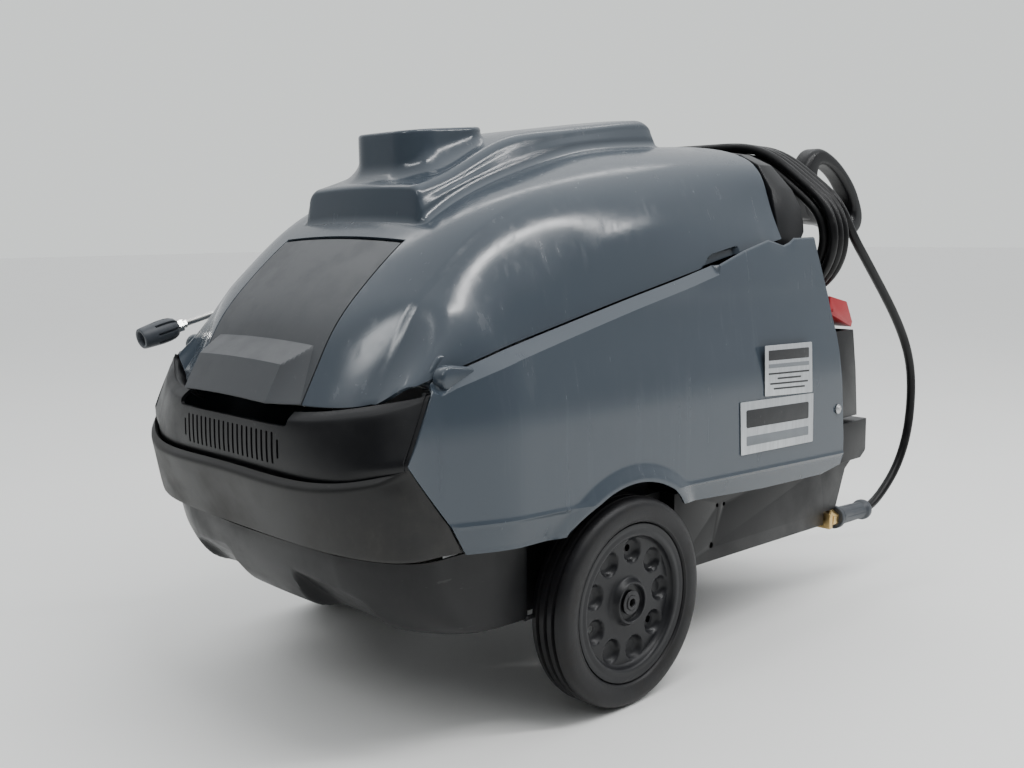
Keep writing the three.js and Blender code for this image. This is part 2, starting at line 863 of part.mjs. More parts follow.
function handleBow() {
  const outer = bowSection(0).intersect(
    side(
      outline([
        [BOW_FRONT, 268],
        [BOW_FRONT, 800],
        [432, 800],
        [452, 756],
        [471, 726],
        [494, 686],
        [497, 644],
        [470, 610],
        [466, 268],
      ]),
      -400,
      400,
    ),
  );
  const inner = bowSection(10).intersect(
    side(
      outline([
        [BOW_FRONT - 50, 100],
        [BOW_FRONT - 50, 800],
        [424, 800],
        [443, 752],
        [461, 721],
        [484, 683],
        [487, 646],
        [462, 612],
        [462, 610],
        [462, 100],
      ]),
      -400,
      400,
    ),
  );
  // Below the arch only two legs and a cross rail are left.
  return cut(outer, inner, box(-262, 262, 400, 600, 300, 560));
}
add("handle_bow", handleBow(), "black");

// ---- hose hooks ---------------------------------------------------------------------------------------
const HOOK = { inner: 155, outer: 200 };
function hook() {
  const body = outline([
    [497, 688],
    [548, 719],
    [638, 719],
    [646, 760],
    [660, 780],
    [684, 793],
    [712, 793],
    [770, 771],
    [822, 732],
    [848, 694],
    [859, 668],
    [852, 646],
    [827, 634],
    [780, 640],
    [730, 660],
    [690, 660],
    [640, 668],
    [556, 680],
    [497, 656],
  ]);
  const slit = [
    [700, 752],
    [716, 758],
    [762, 738],
    [808, 700],
    [818, 678],
    [800, 668],
    [752, 684],
    [704, 716],
  ];
  const { inner, outer } = HOOK;
  const ring = side(body, inner, outer);
  const chamfered = ring.intersect(
    join(side(body, inner + 8, outer - 8), ring.scale([1, 0.985, 0.985]).translate([0, 10, 10.6])),
  );
  return cut(chamfered, side(outline(slit), inner - 10, outer + 10), box(0, 300, 400, 498, 600, 800));
}
for (const [name, sign] of SIDES) add("hose_hook_" + name, mirrored(hook(), sign), "black");

// ---- console at the operator end ----------------------------------------------------------------------
const CONSOLE = [
  [506, 268],
  [506, 590],
  [530, 566],
  [546, 505],
  [604, 499],
  [634, 486],
  [640, 471],
  [653, 401],
  [663, 312],
  [660, 242],
  [572, 242],
  [572, 268],
];
const CONSOLE_INNER = [
  [500, 100],
  [500, 588],
  [511, 581],
  [526, 562],
  [542, 500],
  [602, 494],
  [630, 482],
  [635, 470],
  [648, 400],
  [658, 312],
  [655, 100],
];
function consoleBody() {
  const narrow = side(outline(CONSOLE), -293, 293);
  const wide = side(outline(CONSOLE), -304, 304).intersect(box(-310, 310, 574, 700, 200, 700));
  const hollowed = join(
    side(outline(CONSOLE_INNER), -288, 288),
    side(outline(CONSOLE_INNER), -299, 299).intersect(box(-310, 310, 579, 700, 100, 700)),
  );
  const corner = box(252, 320, 582, 720, 200, 320);
  const corners = SIDES.map(([, s]) => mirrored(corner, s));
  const seat = box(258, 320, 550, 700, 474, 560);
  return cut(join(narrow, wide), hollowed, ...corners, seat);
}
add("console", consoleBody(), "black");

// The console's rear face, on which the controls stand: a point on it and the two directions of its slope.
const FACE_LOW = new THREE.Vector3(0, 663, 312);
const FACE_UP = new THREE.Vector3(0, 653, 401).sub(FACE_LOW).normalize();
const FACE_OUT = new THREE.Vector3(0, FACE_UP.z, -FACE_UP.y);

// A point of the control face at x, a distance up the slope and a distance out of it.
function onFace(x, up, out) {
  return FACE_LOW.clone().addScaledVector(FACE_UP, up).addScaledVector(FACE_OUT, out).setX(x).toArray();
}

function knob(x, up, radius, tall, sides) {
  const body = rod(onFace(x, up, 3), onFace(x, up, 3 + tall), radius, sides, radius - 2);
  const reach = radius * 0.75;
  const grip = rod(onFace(x, up + reach, tall + 7), onFace(x, up - reach, tall + 7), 5, 8);
  return join(body, grip, rod(onFace(x, up, 0.5), onFace(x, up, 4), radius * 0.5, 12));
}
const KNOBS = [
  ["main_switch_knob", -150, 45, 26, 12, "red"],
  ["temperature_knob", -40, 45, 22, 11, "black"],
  ["dosing_knob", 60, 45, 18, 11, "black"],
];
for (const [name, x, up, radius, tall, look] of KNOBS) add(name, knob(x, up, radius, tall, 20), look);
add("pressure_gauge", rod(onFace(150, 45, 0.5), onFace(150, 45, 12), 30, 24), "steel");

// ---- red lever that lets the hood go ------------------------------------------------------------------
const LEVER_PIVOT = { y: 567, z: 512 };
add(
  "hood_release_lever",
  join(
    side(
      outline([
        [558, 506],
        [558, 536],
        [614, 524],
        [635, 488],
        [632, 479],
        [576, 500],
      ]),
      263,
      304,
    ),
    rod([261, LEVER_PIVOT.y, LEVER_PIVOT.z], [306, LEVER_PIVOT.y, LEVER_PIVOT.z], 4, 10),
  ),
  "red",
);

// ---- rear corner buffers ------------------------------------------------------------------------------
function buffer() {
  const body = plan(rounded(283, 640, 29, 52, 14), 243, 312, 3);
  return body.intersect(
    side(
      outline([
        [580, 240],
        [660, 240],
        [694, 262],
        [694, 306],
        [684, 314],
        [580, 314],
      ]),
      200,
      400,
    ),
  );
}
for (const [name, sign] of SIDES) add("rear_buffer_" + name, mirrored(buffer(), sign), "black");

// ---- screws and plates on the panels ------------------------------------------------------------------
for (const [name, sign] of SIDES) {
  const x = panelOut(532, 350) + 0.5;
  const washer = rod([x, 532, 350], [x + 3, 532, 350], 8, 12);
  const head = rod([x + 3, 532, 350], [x + 5, 532, 350], 6, 12, 4);
  add("panel_screw_" + name, mirrored(join(washer, head), sign), "steel");
}
function plate(outlinePoints, lift) {
  const geometry = new THREE.ExtrudeGeometry(outline(outlinePoints), { depth: 1, bevelEnabled: false });
  const place = geometry.getAttribute("position");
  for (let i = 0; i < place.count; i++) {
    const [y, z, out] = [place.getX(i), place.getY(i), place.getZ(i)];
    place.setXYZ(i, lift + out, y, z);
  }
  return solid(geometry);
}
const SMALL_PLATE = [
  [312, 396],
  [449, 388],
  [443, 470],
  [309, 474],
];
const LARGE_PLATE = [
  [251, 313],
  [454, 306],
  [452, 386],
  [247, 394],
];
add("plate_small", plate(SMALL_PLATE, 339), "plate");
add("plate_large", plate(LARGE_PLATE, 339), "plate");

// ---- outlet and hose ----------------------------------------------------------------------------------
const OUTLET = { x: 285, z: 137 };
add(
  "outlet_block",
  join(
    box(271, 299, 588, 598, 123, 150),
    rod([OUTLET.x, 594, OUTLET.z], [OUTLET.x, 604, OUTLET.z], 9, 16),
    rod([OUTLET.x, 604, OUTLET.z], [OUTLET.x, 622, OUTLET.z - 1], 15, 6),
  ),
  "brass",
);
add(
  "outlet_coupling",
  join(
    rod([OUTLET.x, 623, OUTLET.z - 1], [OUTLET.x, 632, OUTLET.z - 1], 20, 20),
    rod([OUTLET.x, 631, OUTLET.z - 1], [OUTLET.x, 724, OUTLET.z - 5], 15, 20, 14),
    rod([OUTLET.x, 722, OUTLET.z - 5], [OUTLET.x, 735, OUTLET.z - 6], 18, 20, 16),
  ),
  "coupling",
);

// The free stretch, from the coupling up to the winding, and the tail from the winding to the gun.
const HOSE_RISE = [
  [285, 737.5, 131],
  [285.5, 762, 132.5],
  [290, 802, 158],
  [294, 846, 200],
  [297, 872, 256],
  [298, 880, 315],
  [298, 876, 381],
  [298, 845, 440],
  [298, 790, 500],
  [298, 728, 556],
  [298, 672, 606],
  [296, 640, 634],
];
const HOSE_TAIL = [
  [-215, 630, 662],
  [-215, 632, 630],
  [-215, 635, 596],
  [-215, 636, 566],
  [-215, 636, 540],
  [-221.9, 641.2, 507.9],
  [-240.8, 655.3, 484.3],
  [-266.5, 674.5, 475.7],
  [-292.3, 693.8, 484.3],
  [-311.1, 707.8, 507.9],
  [-318, 713, 540],
  [-318, 713, 590],
  [-318, 713, 632],
];
const hoseSteps = (points, steps) => bar(points, HOSE_RADIUS, HOSE_RADIUS, steps, 8);
add("hose_rise", hoseSteps(HOSE_RISE, 22), "hose");
add("hose_tail", hoseSteps(HOSE_TAIL, 16), "hose");

// The winding hangs over both hooks. Its outline has a flat top and bottom, and at each side a large arc at
// the shoulder and a smaller one round the corner, with a straight slope between them.
const WINDING = { front: 552, rear: 626, thick: 44 };
const CORNER = { x: 208, z: 632, radius: 110 };
const SHOULDER_ARC = { x: 102, z: 626, radius: 180 };
const SLOPE_NORMAL = THREE.MathUtils.degToRad(52);

function windingOutline(inset) {
  const { PI } = Math;
  const shape = new THREE.Shape();
  shape.absarc(CORNER.x, CORNER.z, CORNER.radius - inset, -PI / 2, SLOPE_NORMAL);
  shape.absarc(SHOULDER_ARC.x, SHOULDER_ARC.z, SHOULDER_ARC.radius - inset, SLOPE_NORMAL, PI / 2);
  shape.absarc(-SHOULDER_ARC.x, SHOULDER_ARC.z, SHOULDER_ARC.radius - inset, PI / 2, PI - SLOPE_NORMAL);
  shape.absarc(-CORNER.x, CORNER.z, CORNER.radius - inset, PI - SLOPE_NORMAL, 1.5 * PI);
  return shape;
}

function windingSolid() {
  const ring = (inset, front, rear) => {
    const geometry = new THREE.ExtrudeGeometry(windingOutline(inset), {
      depth: rear - front,
      bevelEnabled: false,
      curveSegments: 6,
    });
    geometry.rotateX(Math.PI / 2);
    geometry.translate(0, rear, 0);
    return solid(geometry);
  };
  const { front, rear, thick } = WINDING;
  return cut(ring(0, front, rear), ring(thick, front - 10, rear + 10));
}
add("hose_winding", windingSolid(), "hose");

// ---- lance, gun and their holders ---------------------------------------------------------------------
const lanceDirection = new THREE.Vector3(0, 1, LANCE.slope).normalize();
function onLance(along, up = 0, out = 0) {
  const { x, y, z } = LANCE;
  const point = new THREE.Vector3(x - out, y, z).addScaledVector(lanceDirection, along);
  return point.addScaledVector(new THREE.Vector3(0, -lanceDirection.z, lanceDirection.y), up).toArray();
}
function nozzle() {
  let made = rod(onLance(0), onLance(60), 18.5, 16, 15.5);
  for (let i = 0; i < 8; i++) {
    const a = ((i + 0.5) * 2 * Math.PI) / 8;
    const [u, v] = [20 * Math.cos(a), 20 * Math.sin(a)];
    made = cut(made, rod(onLance(14, u, v), onLance(70, u, v), 3.6, 5));
  }
  return cut(made, rod(onLance(-5), onLance(14), 11, 12), rod(onLance(30), onLance(70), 6.5, 10));
}
add("lance_nozzle", nozzle(), "coupling");
add("lance_tube", join(rod(onLance(31), onLance(880), 5, 12), rod(onLance(61), onLance(72), 9, 12)), "steel");
const GUN_START = 881;
add(
  "gun_body",
  join(
    rod(onLance(GUN_START), onLance(GUN_START + 60), 12, 12, 15),
    rod(onLance(GUN_START + 60), onLance(GUN_START + 215), 17, 12, 15),
    rod(onLance(GUN_START + 195, 2), [LANCE.x, 712, 662], 16, 12, 14),
    rod([LANCE.x, 712, 663], [LANCE.x, 712.6, 641], 10, 12),
  ),
  "black",
);
const TRIGGER = [
  [613, 724],
  [628, 727],
  [640, 694],
  [652, 664],
  [660, 640],
  [652, 634],
  [634, 664],
  [622, 700],
];
add("gun_trigger", side(outline(TRIGGER), LANCE.x - 7, LANCE.x + 7), "red");
const CATCH_PIVOT = { y: 693, z: 657 };
add(
  "gun_safety_catch",
  join(
    box(LANCE.x - 4, LANCE.x + 4, CATCH_PIVOT.y - 2, CATCH_PIVOT.y + 2, 630, 658),
    rod([LANCE.x - 6, CATCH_PIVOT.y, CATCH_PIVOT.z], [LANCE.x + 6, CATCH_PIVOT.y, CATCH_PIVOT.z], 3, 8),
  ),
  "coupling",
);

// A cradle round the lance, open at the top.
function cradle(along) {
  const [x, y, z] = onLance(along);
  return cut(
    box(x - 14, x + 14, y - 9, y + 9, z - 16, z + 6),
    rod([x, y - 20, z - 20 * LANCE.slope], [x, y + 20, z + 20 * LANCE.slope], 5.8, 12),
    box(x - 5.2, x + 5.2, y - 20, y + 20, z, z + 30),
  );
}
const FRONT_HOLDER = onLance(300);
add(
  "lance_holder_front",
  join(cradle(300), box(LANCE.x - 4, LANCE.x + 4, FRONT_HOLDER[1] - 9, FRONT_HOLDER[1] + 9, 532.5, 555)),
  "black",
);
const REAR_HOLDER = onLance(836);
add(
  "lance_holder_rear",
  join(
    cradle(836),
    box(LANCE.x + 10, -282.5, REAR_HOLDER[1] - 9, REAR_HOLDER[1] + 9, REAR_HOLDER[2] - 16, REAR_HOLDER[2] - 8),
  ),
  "black",
);

// ---- inside -------------------------------------------------------------------------------------------
const BOILER = { y: -80, radius: 138, low: 182, high: 600 };
add(
  "boiler",
  join(
    rod([0, BOILER.y, BOILER.low], [0, BOILER.y, BOILER.high], BOILER.radius, 32),
    rod([0, BOILER.y, BOILER.high - 1], [0, BOILER.y, BOILER.high + 22], BOILER.radius - 8, 32),
    rod([0, BOILER.y, BOILER.high + 20], [0, BOILER.y, 728], 50, 20),
  ),
  "cast",
);
add(
  "burner_blower",
  join(
    rod([-40, 150, 480], [40, 150, 480], 72, 24),
    rod([-40, 74, 520], [40, 74, 520], 12, 10),
    box(-30, 30, 70, 150, 498, 545),
  ),
  "cast",
);
add("burner_motor", rod([42, 150, 480], [150, 150, 480], 44, 20), "steel");
add(
  "pump_motor",
  join(rod([0, 190, 262], [0, 396, 262], 70, 24), box(-60, 60, 210, 380, 158, 205)),
  "cast",
);
add(
  "pump_head",
  join(box(-52, 52, 74, 186, 200, 320), ...[-30, 0, 30].map((x) => rod([x, 130, 318], [x, 130, 336], 11, 6))),
  "brass",
);
for (const [name, sign] of SIDES) {
  const tank = box(16, 236, -338, -248, 208, 322);
  const neck = rod([150, -300, 320], [150, -300, 330], 26, 16);
  add((sign > 0 ? "fuel" : "water") + "_tank", mirrored(join(tank, neck), sign), "tank");
  const cap = join(rod([150, -300, 330.5], [150, -300, 344], 34, 16), box(122, 178, -304, -296, 343, 350));
  add((sign > 0 ? "fuel" : "water") + "_cap", mirrored(cap, sign), sign > 0 ? "red" : "black");
}
add("detergent_tank", plan(rounded(-190, 300, 45, 95, 15), 158, 430, 3), "tank");
add("electric_box", box(60, 240, 470, 500, 330, 520), "plate");
add(
  "water_inlet",
  join(rod([-180, 650, 200], [-180, 690, 200], 14, 12), rod([-180, 655, 200], [-180, 668, 200], 20, 6)),
  "brass",
);
add(
  "cable_gland",
  join(rod([-60, 664, 262], [-60, 690, 262], 14, 12, 11), rod([-60, 664, 262], [-60, 672, 262], 18, 6)),
  "black",
);
for (const [name, sign] of SIDES) {
  const bore = rod([180, 0, AXLE_Z], [240, 0, AXLE_Z], AXLE_RADIUS + 0.3, 24);
  add("axle_clamp_" + name, mirrored(cut(box(190, 230, -15, 15, 130, 159), bore), sign), "steel");
}

export default group;
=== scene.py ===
"""The looks of a hot-water pressure washer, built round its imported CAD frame."""
import math

import bmesh
import bpy
import numpy as np
from mathutils import Matrix, Vector


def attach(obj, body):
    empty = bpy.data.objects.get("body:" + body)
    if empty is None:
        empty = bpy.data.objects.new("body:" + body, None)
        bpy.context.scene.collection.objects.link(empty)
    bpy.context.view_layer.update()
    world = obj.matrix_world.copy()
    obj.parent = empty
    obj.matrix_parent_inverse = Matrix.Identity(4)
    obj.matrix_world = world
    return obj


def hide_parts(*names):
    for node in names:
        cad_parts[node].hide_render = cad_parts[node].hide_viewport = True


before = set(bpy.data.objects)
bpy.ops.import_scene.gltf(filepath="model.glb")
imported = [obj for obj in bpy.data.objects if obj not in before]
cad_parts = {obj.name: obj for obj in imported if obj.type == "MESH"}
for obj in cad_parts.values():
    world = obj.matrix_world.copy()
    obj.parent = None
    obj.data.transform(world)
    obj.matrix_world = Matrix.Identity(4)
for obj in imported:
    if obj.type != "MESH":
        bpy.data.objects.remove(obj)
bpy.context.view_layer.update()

AXLE_Y = -217.5  # the axle behind the row frame's middle; shapes below measure y from the axle, in mm
AXLE_Z = 146.0
FACE = 345.0  # outer face of the tyres
HOSE = 16.0  # outside diameter of the hose
SIDES = (("right", 1), ("left", -1))


def row(points):
    """Points in mm with y from the axle, as metres in the row frame."""
    p = np.asarray(points, float).reshape(-1, 3)
    return (p + [0, AXLE_Y, 0]) / 1000


def row_point(x, y, z):
    return Vector(row([(x, y, z)])[0])


# ---- curves --------------------------------------------------------------------------------------------
def spline(knots, values, at):
    """A natural cubic spline through values at knots, read at the numbers in at."""
    k, v, at = np.asarray(knots, float), np.asarray(values, float), np.atleast_1d(np.asarray(at, float))
    flat = v.ndim == 1
    v = v.reshape(len(k), -1)
    h = np.diff(k)
    system, right = np.zeros((len(k), len(k))), np.zeros_like(v)
    system[0, 0] = system[-1, -1] = 1
    for i in range(1, len(k) - 1):
        system[i, i - 1 : i + 2] = h[i - 1], 2 * (h[i - 1] + h[i]), h[i]
        right[i] = 6 * ((v[i + 1] - v[i]) / h[i] - (v[i] - v[i - 1]) / h[i - 1])
    m = np.linalg.solve(system, right)
    at = np.clip(at, k[0], k[-1])
    i = np.clip(np.searchsorted(k, at) - 1, 0, len(k) - 2)
    after, before, step = (at - k[i])[:, None], (k[i + 1] - at)[:, None], h[i][:, None]
    made = (m[i] * before**3 + m[i + 1] * after**3) / (6 * step)
    made += (v[i] / step - m[i] * step / 6) * before + (v[i + 1] / step - m[i + 1] * step / 6) * after
    return made[:, 0] if flat else made


def chords(points, power=1.0):
    """Distances along a line of points, each stretch raised to a power."""
    p = np.asarray(points, float)
    return np.r_[0, np.cumsum(np.linalg.norm(np.diff(p, axis=0), axis=1) ** power)]


def resampled(points, count):
    """A line of points read at even distances."""
    p = np.asarray(points, float)
    s = chords(p)
    at = np.linspace(0, s[-1], count) if np.isscalar(count) else np.asarray(count) * s[-1]
    return np.stack([np.interp(at, s, p[:, i]) for i in range(p.shape[1])], axis=1)


def rounded_corners(points, times=3):
    """Cuts the corners of an open line of points, its ends kept."""
    p = np.asarray(points, float)
    for _ in range(times):
        cut = np.empty((2 * len(p) - 2,) + p.shape[1:])
        cut[0::2] = p[:-1] * 0.75 + p[1:] * 0.25
        cut[1::2] = p[:-1] * 0.25 + p[1:] * 0.75
        p = np.concatenate([p[:1], cut, p[-1:]])
    return p


def smoothstep(x, low, high):
    t = np.clip((np.asarray(x, float) - low) / (high - low), 0, 1)
    return t * t * (3 - 2 * t)


# ---- materials -----------------------------------------------------------------------------------------
class Look:
    """A procedural material, built up node by node. Scales are in features per metre."""

    def __init__(self, name, color, roughness, metallic=0.0, specular=0.5):
        self.material = bpy.data.materials.new(name)
        self.material.use_nodes = True
        self.tree = self.material.node_tree
        self.shader = self.tree.nodes["Principled BSDF"]
        self.shader.inputs["Base Color"].default_value = (*color, 1)
        self.shader.inputs["Roughness"].default_value = roughness
        self.shader.inputs["Metallic"].default_value = metallic
        self.shader.inputs["Specular IOR Level"].default_value = specular
        self.color, self.roughness, self.normal = color, roughness, None
        self.place = self.node("ShaderNodeTexCoord").outputs["Object"]
        self.material.diffuse_color = (*color, 1)

    def node(self, kind, **values):
        made = self.tree.nodes.new(kind)
        for key, value in values.items():
            setattr(made, key, value)
        return made

    def link(self, source, target):
        self.tree.links.new(source, target)

    def stretched(self, stretch, turn=(0, 0, 0)):
        """The object's own coordinates, stretched and turned."""
        mapping = self.node("ShaderNodeMapping")
        mapping.inputs["Scale"].default_value = stretch
        mapping.inputs["Rotation"].default_value = turn
        self.link(self.place, mapping.inputs["Vector"])
        return mapping.outputs["Vector"]

    def noise(self, scale, detail=3.0, roughness=0.5, place=None, low=0.0, high=1.0):
        """Noise between 0 and 1, with all under low at 0 and all over high at 1."""
        made = self.node("ShaderNodeTexNoise")
        made.inputs["Scale"].default_value = scale
        made.inputs["Detail"].default_value = detail
        made.inputs["Roughness"].default_value = roughness
        self.link(place or self.place, made.inputs["Vector"])
        if (low, high) == (0.0, 1.0):
            return made.outputs["Fac"]
        return self.ranged(made.outputs["Fac"], low, high)

    def ranged(self, value, low, high):
        """0 below low, 1 above high and a smooth step between."""
        made = self.node("ShaderNodeMapRange", interpolation_type="SMOOTHSTEP")
        made.inputs["From Min"].default_value = low
        made.inputs["From Max"].default_value = high
        self.link(value, made.inputs["Value"])
        return made.outputs["Result"]

    def times(self, a, b):
        made = self.node("ShaderNodeMath", operation="MULTIPLY")
        self.link(a, made.inputs[0])
        if isinstance(b, (int, float)):
            made.inputs[1].default_value = b
        else:
            self.link(b, made.inputs[1])
        return made.outputs[0]

    def paint(self, factor, color):
        """Lays a second colour over the first where factor is high."""
        socket = self.shader.inputs["Base Color"]
        made = self.node("ShaderNodeMix", data_type="RGBA")
        if socket.is_linked:
            self.link(socket.links[0].from_socket, made.inputs["A"])
        else:
            made.inputs["A"].default_value = socket.default_value
        made.inputs["B"].default_value = (*color, 1)
        self.link(factor, made.inputs["Factor"])
        self.link(made.outputs["Result"], socket)
        return self

    def roughen(self, factor, by):
        """Adds by to the roughness where factor is high."""
        socket = self.shader.inputs["Roughness"]
        made = self.node("ShaderNodeMath", operation="MULTIPLY_ADD", use_clamp=True)
        self.link(factor, made.inputs[0])
        made.inputs[1].default_value = by
        if socket.is_linked:
            self.link(socket.links[0].from_socket, made.inputs[2])
        else:
            made.inputs[2].default_value = self.roughness
        self.link(made.outputs[0], socket)
        return self

    def bump(self, height, depth):
        """Raises the surface by height times depth, in metres."""
        made = self.node("ShaderNodeBump")
        made.inputs["Distance"].default_value = depth
        self.link(height, made.inputs["Height"])
        if self.normal is not None:
            self.link(self.normal, made.inputs["Normal"])
        self.normal = made.outputs["Normal"]
        self.link(self.normal, self.shader.inputs["Normal"])
        return self


def gloss_look():
    look = Look("gloss_blue_grey", (0.043, 0.056, 0.072), 0.14, specular=0.5)
    look.paint(look.times(look.noise(3.0, 2, low=0.35, high=0.7), 0.5), (0.050, 0.064, 0.081))
    streaks = look.noise(9, 4, 0.6, look.stretched((8, 8, 0.35)), 0.52, 0.72)
    patch = look.noise(5, 2, 0.5, None, 0.45, 0.62)
    look.paint(look.times(look.times(streaks, patch), 0.03), (0.30, 0.33, 0.36))
    scuffs = look.noise(60, 5, 0.75, look.stretched((1, 0.12, 1), (0.5, 0.2, 0.4)), 0.63, 0.70)
    scuffed = look.noise(4, 2, 0.5, None, 0.58, 0.70)
    look.paint(look.times(look.times(scuffs, scuffed), 0.05), (0.20, 0.22, 0.24))
    look.roughen(streaks, 0.12)
    look.roughen(look.noise(14, 4, 0.6, None, 0.4, 0.75), 0.08)
    look.bump(look.noise(5, 1, 0.3), 0.0005)
    look.bump(look.noise(520, 2), 0.000035)
    return look.material


def satin_look():
    look = Look("satin_grey", (0.050, 0.054, 0.060), 0.38, specular=0.40)
    look.paint(look.noise(4, 3, 0.5, None, 0.35, 0.75), (0.057, 0.061, 0.067))
    dust = look.noise(150, 3, 0.7, None, 0.62, 0.72)
    look.paint(look.times(dust, 0.15), (0.14, 0.145, 0.15))
    look.roughen(look.noise(20, 3, 0.6, None, 0.4, 0.7), 0.10)
    look.bump(look.noise(900, 2), 0.00004)
    return look.material


def black_look(name, color, dust_color, dust, roughness=0.42, grain=0.00006):
    look = Look(name, color, roughness, specular=0.30)
    cloud = look.noise(7, 5, 0.62, None, 0.38, 0.72)
    fine = look.noise(90, 4, 0.7, look.stretched((1, 1, 0.6)), 0.42, 0.72)
    look.paint(look.times(cloud, dust), dust_color)
    look.paint(look.times(look.times(fine, cloud), dust), dust_color)
    scratches = look.noise(70, 4, 0.75, look.stretched((1, 0.15, 1), (0.2, 0.5, 0.3)), 0.66, 0.72)
    look.paint(look.times(scratches, 0.25), (0.07, 0.07, 0.07))
    look.roughen(cloud, 0.22)
    look.bump(look.noise(1400, 2), grain)
    look.bump(look.noise(30, 3, 0.6), 0.00012)
    return look.material


def tyre_look():
    look = Look("tyre_rubber", (0.008, 0.008, 0.0095), 0.46, specular=0.32)
    dust = look.noise(24, 5, 0.7, None, 0.42, 0.78)
    look.paint(look.times(dust, 0.3), (0.030, 0.026, 0.021))
    look.paint(look.times(look.noise(120, 4, 0.7, None, 0.55, 0.75), 0.2), (0.04, 0.037, 0.033))
    look.roughen(dust, 0.2)
    look.bump(look.noise(320, 4, 0.7), 0.00025)
    return look.material


def metal_look(name, color, roughness, stretch=(1, 1, 1)):
    look = Look(name, color, roughness, metallic=1.0)
    brushed = look.noise(160, 4, 0.6, look.stretched(stretch), 0.3, 0.7)
    look.paint(look.times(brushed, 0.35), tuple(c * 0.72 for c in color))
    look.roughen(brushed, 0.14)
    look.roughen(look.noise(18, 3, 0.6, None, 0.4, 0.7), 0.1)
    look.bump(brushed, 0.00002)
    return look.material


def plastic_look(name, color, roughness=0.4, grain=0.00004, worn=None):
    look = Look(name, color, roughness, specular=0.45)
    cloud = look.noise(16, 4, 0.6, None, 0.38, 0.72)
    look.paint(look.times(cloud, 0.4), worn or tuple(c * 0.8 + 0.02 for c in color))
    specks = look.noise(140, 4, 0.7, None, 0.62, 0.72)
    look.paint(look.times(specks, 0.25), tuple(c * 0.6 + 0.12 for c in color))
    look.roughen(cloud, 0.15)
    look.bump(look.noise(1100, 2), grain)
    return look.material


def hose_look():
    look = Look("hose_rubber", (0.0035, 0.0035, 0.0042), 0.36, specular=0.26)
    dust = look.noise(30, 4, 0.65, None, 0.45, 0.75)
    look.paint(look.times(dust, 0.25), (0.014, 0.0135, 0.013))
    look.roughen(dust, 0.25)
    look.bump(look.noise(500, 3), 0.00008)
    return look.material


def cast_look(name, color, roughness, metallic):
    look = Look(name, color, roughness, metallic)
    cloud = look.noise(11, 5, 0.65, None, 0.35, 0.75)
    look.paint(look.times(cloud, 0.5), tuple(c * 0.6 for c in color))
    look.paint(look.times(look.noise(45, 5, 0.7, None, 0.6, 0.75), 0.4), (0.17, 0.10, 0.06))
    look.roughen(cloud, 0.2)
    look.bump(look.noise(260, 4), 0.0003)
    return look.material


GLOSS = gloss_look()
SATIN = satin_look()
BLACK = black_look("black_moulding", (0.0045, 0.0048, 0.006), (0.012, 0.012, 0.013), 0.3, 0.32)
DUSTY = black_look("dusty_moulding", (0.011, 0.011, 0.0112), (0.036, 0.0345, 0.032), 0.65, 0.40)
TUB = black_look("tub_moulding", (0.0056, 0.0058, 0.0068), (0.015, 0.015, 0.016), 0.35, 0.33)
DISC = black_look("wheel_disc", (0.0095, 0.010, 0.012), (0.019, 0.019, 0.021), 0.4, 0.30, 0.00004)
TYRE = tyre_look()
ZINC = metal_look("zinc_steel", (0.52, 0.53, 0.54), 0.34)
BRIGHT = metal_look("bright_steel", (0.78, 0.77, 0.74), 0.16, (1, 0.05, 1))
BRASS = metal_look("brass", (0.70, 0.50, 0.22), 0.28)
RED = plastic_look("red_plastic", (0.36, 0.012, 0.018), 0.36, worn=(0.30, 0.018, 0.025))
GREY = plastic_look("grey_plastic", (0.050, 0.057, 0.068), 0.42)
HUB_STEEL = metal_look("hub_steel", (0.07, 0.07, 0.073), 0.42)
HOSE_LOOK = hose_look()
TANK = plastic_look("natural_tank", (0.62, 0.60, 0.53), 0.44, 0.0002)
SHEET = cast_look("boiler_sheet", (0.50, 0.51, 0.52), 0.38, 1.0)
CAST = cast_look("painted_casting", (0.075, 0.082, 0.09), 0.5, 0.0)
PLATE = metal_look("plate_metal", (0.56, 0.58, 0.60), 0.42, (1, 1, 0.1))
PRINT = plastic_look("printing_ink", (0.012, 0.013, 0.015), 0.5)
PALE_PRINT = plastic_look("pale_ink", (0.16, 0.175, 0.19), 0.5)


# ---- meshes --------------------------------------------------------------------------------------------
def place(obj, look, body, nodes=(), slot=None, sharp=38.0):
    """Gives a finished mesh its material, body and shading."""
    obj.data.materials.clear()
    obj.data.materials.append(look)
    obj.data.shade_smooth()
    obj.data.set_sharp_from_angle(angle=math.radians(sharp))
    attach(obj, body)
    if nodes:
        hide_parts(*nodes)
    return obj


def new_object(name, bm):
    mesh = bpy.data.meshes.new(name)
    bm.to_mesh(mesh)
    bm.free()
    obj = bpy.data.objects.new(name, mesh)
    bpy.context.scene.collection.objects.link(obj)
    return obj


def bm_of(vertices, faces):
    """A bmesh of mm points and faces, in row metres."""
    bm = bmesh.new()
    verts = [bm.verts.new(p) for p in row(vertices)]
    for face in faces:
        corners = list(dict.fromkeys(face))
        if len(corners) > 2:
            bm.faces.new([verts[i] for i in corners])
    bm.verts.index_update()
    bm.normal_update()
    return bm


def grid_faces(rows, columns, closed=False, keep=None):
    """Quads of a grid of points; closed joins its last column to its first. keep says which to keep."""
    faces = []
    for i in range(rows - 1):
        for j in range(columns if closed else columns - 1):
            if keep is not None and not keep(i, j):
                continue
            k = (j + 1) % columns
            faces.append((i * columns + j, i * columns + k, (i + 1) * columns + k, (i + 1) * columns + j))
    return faces


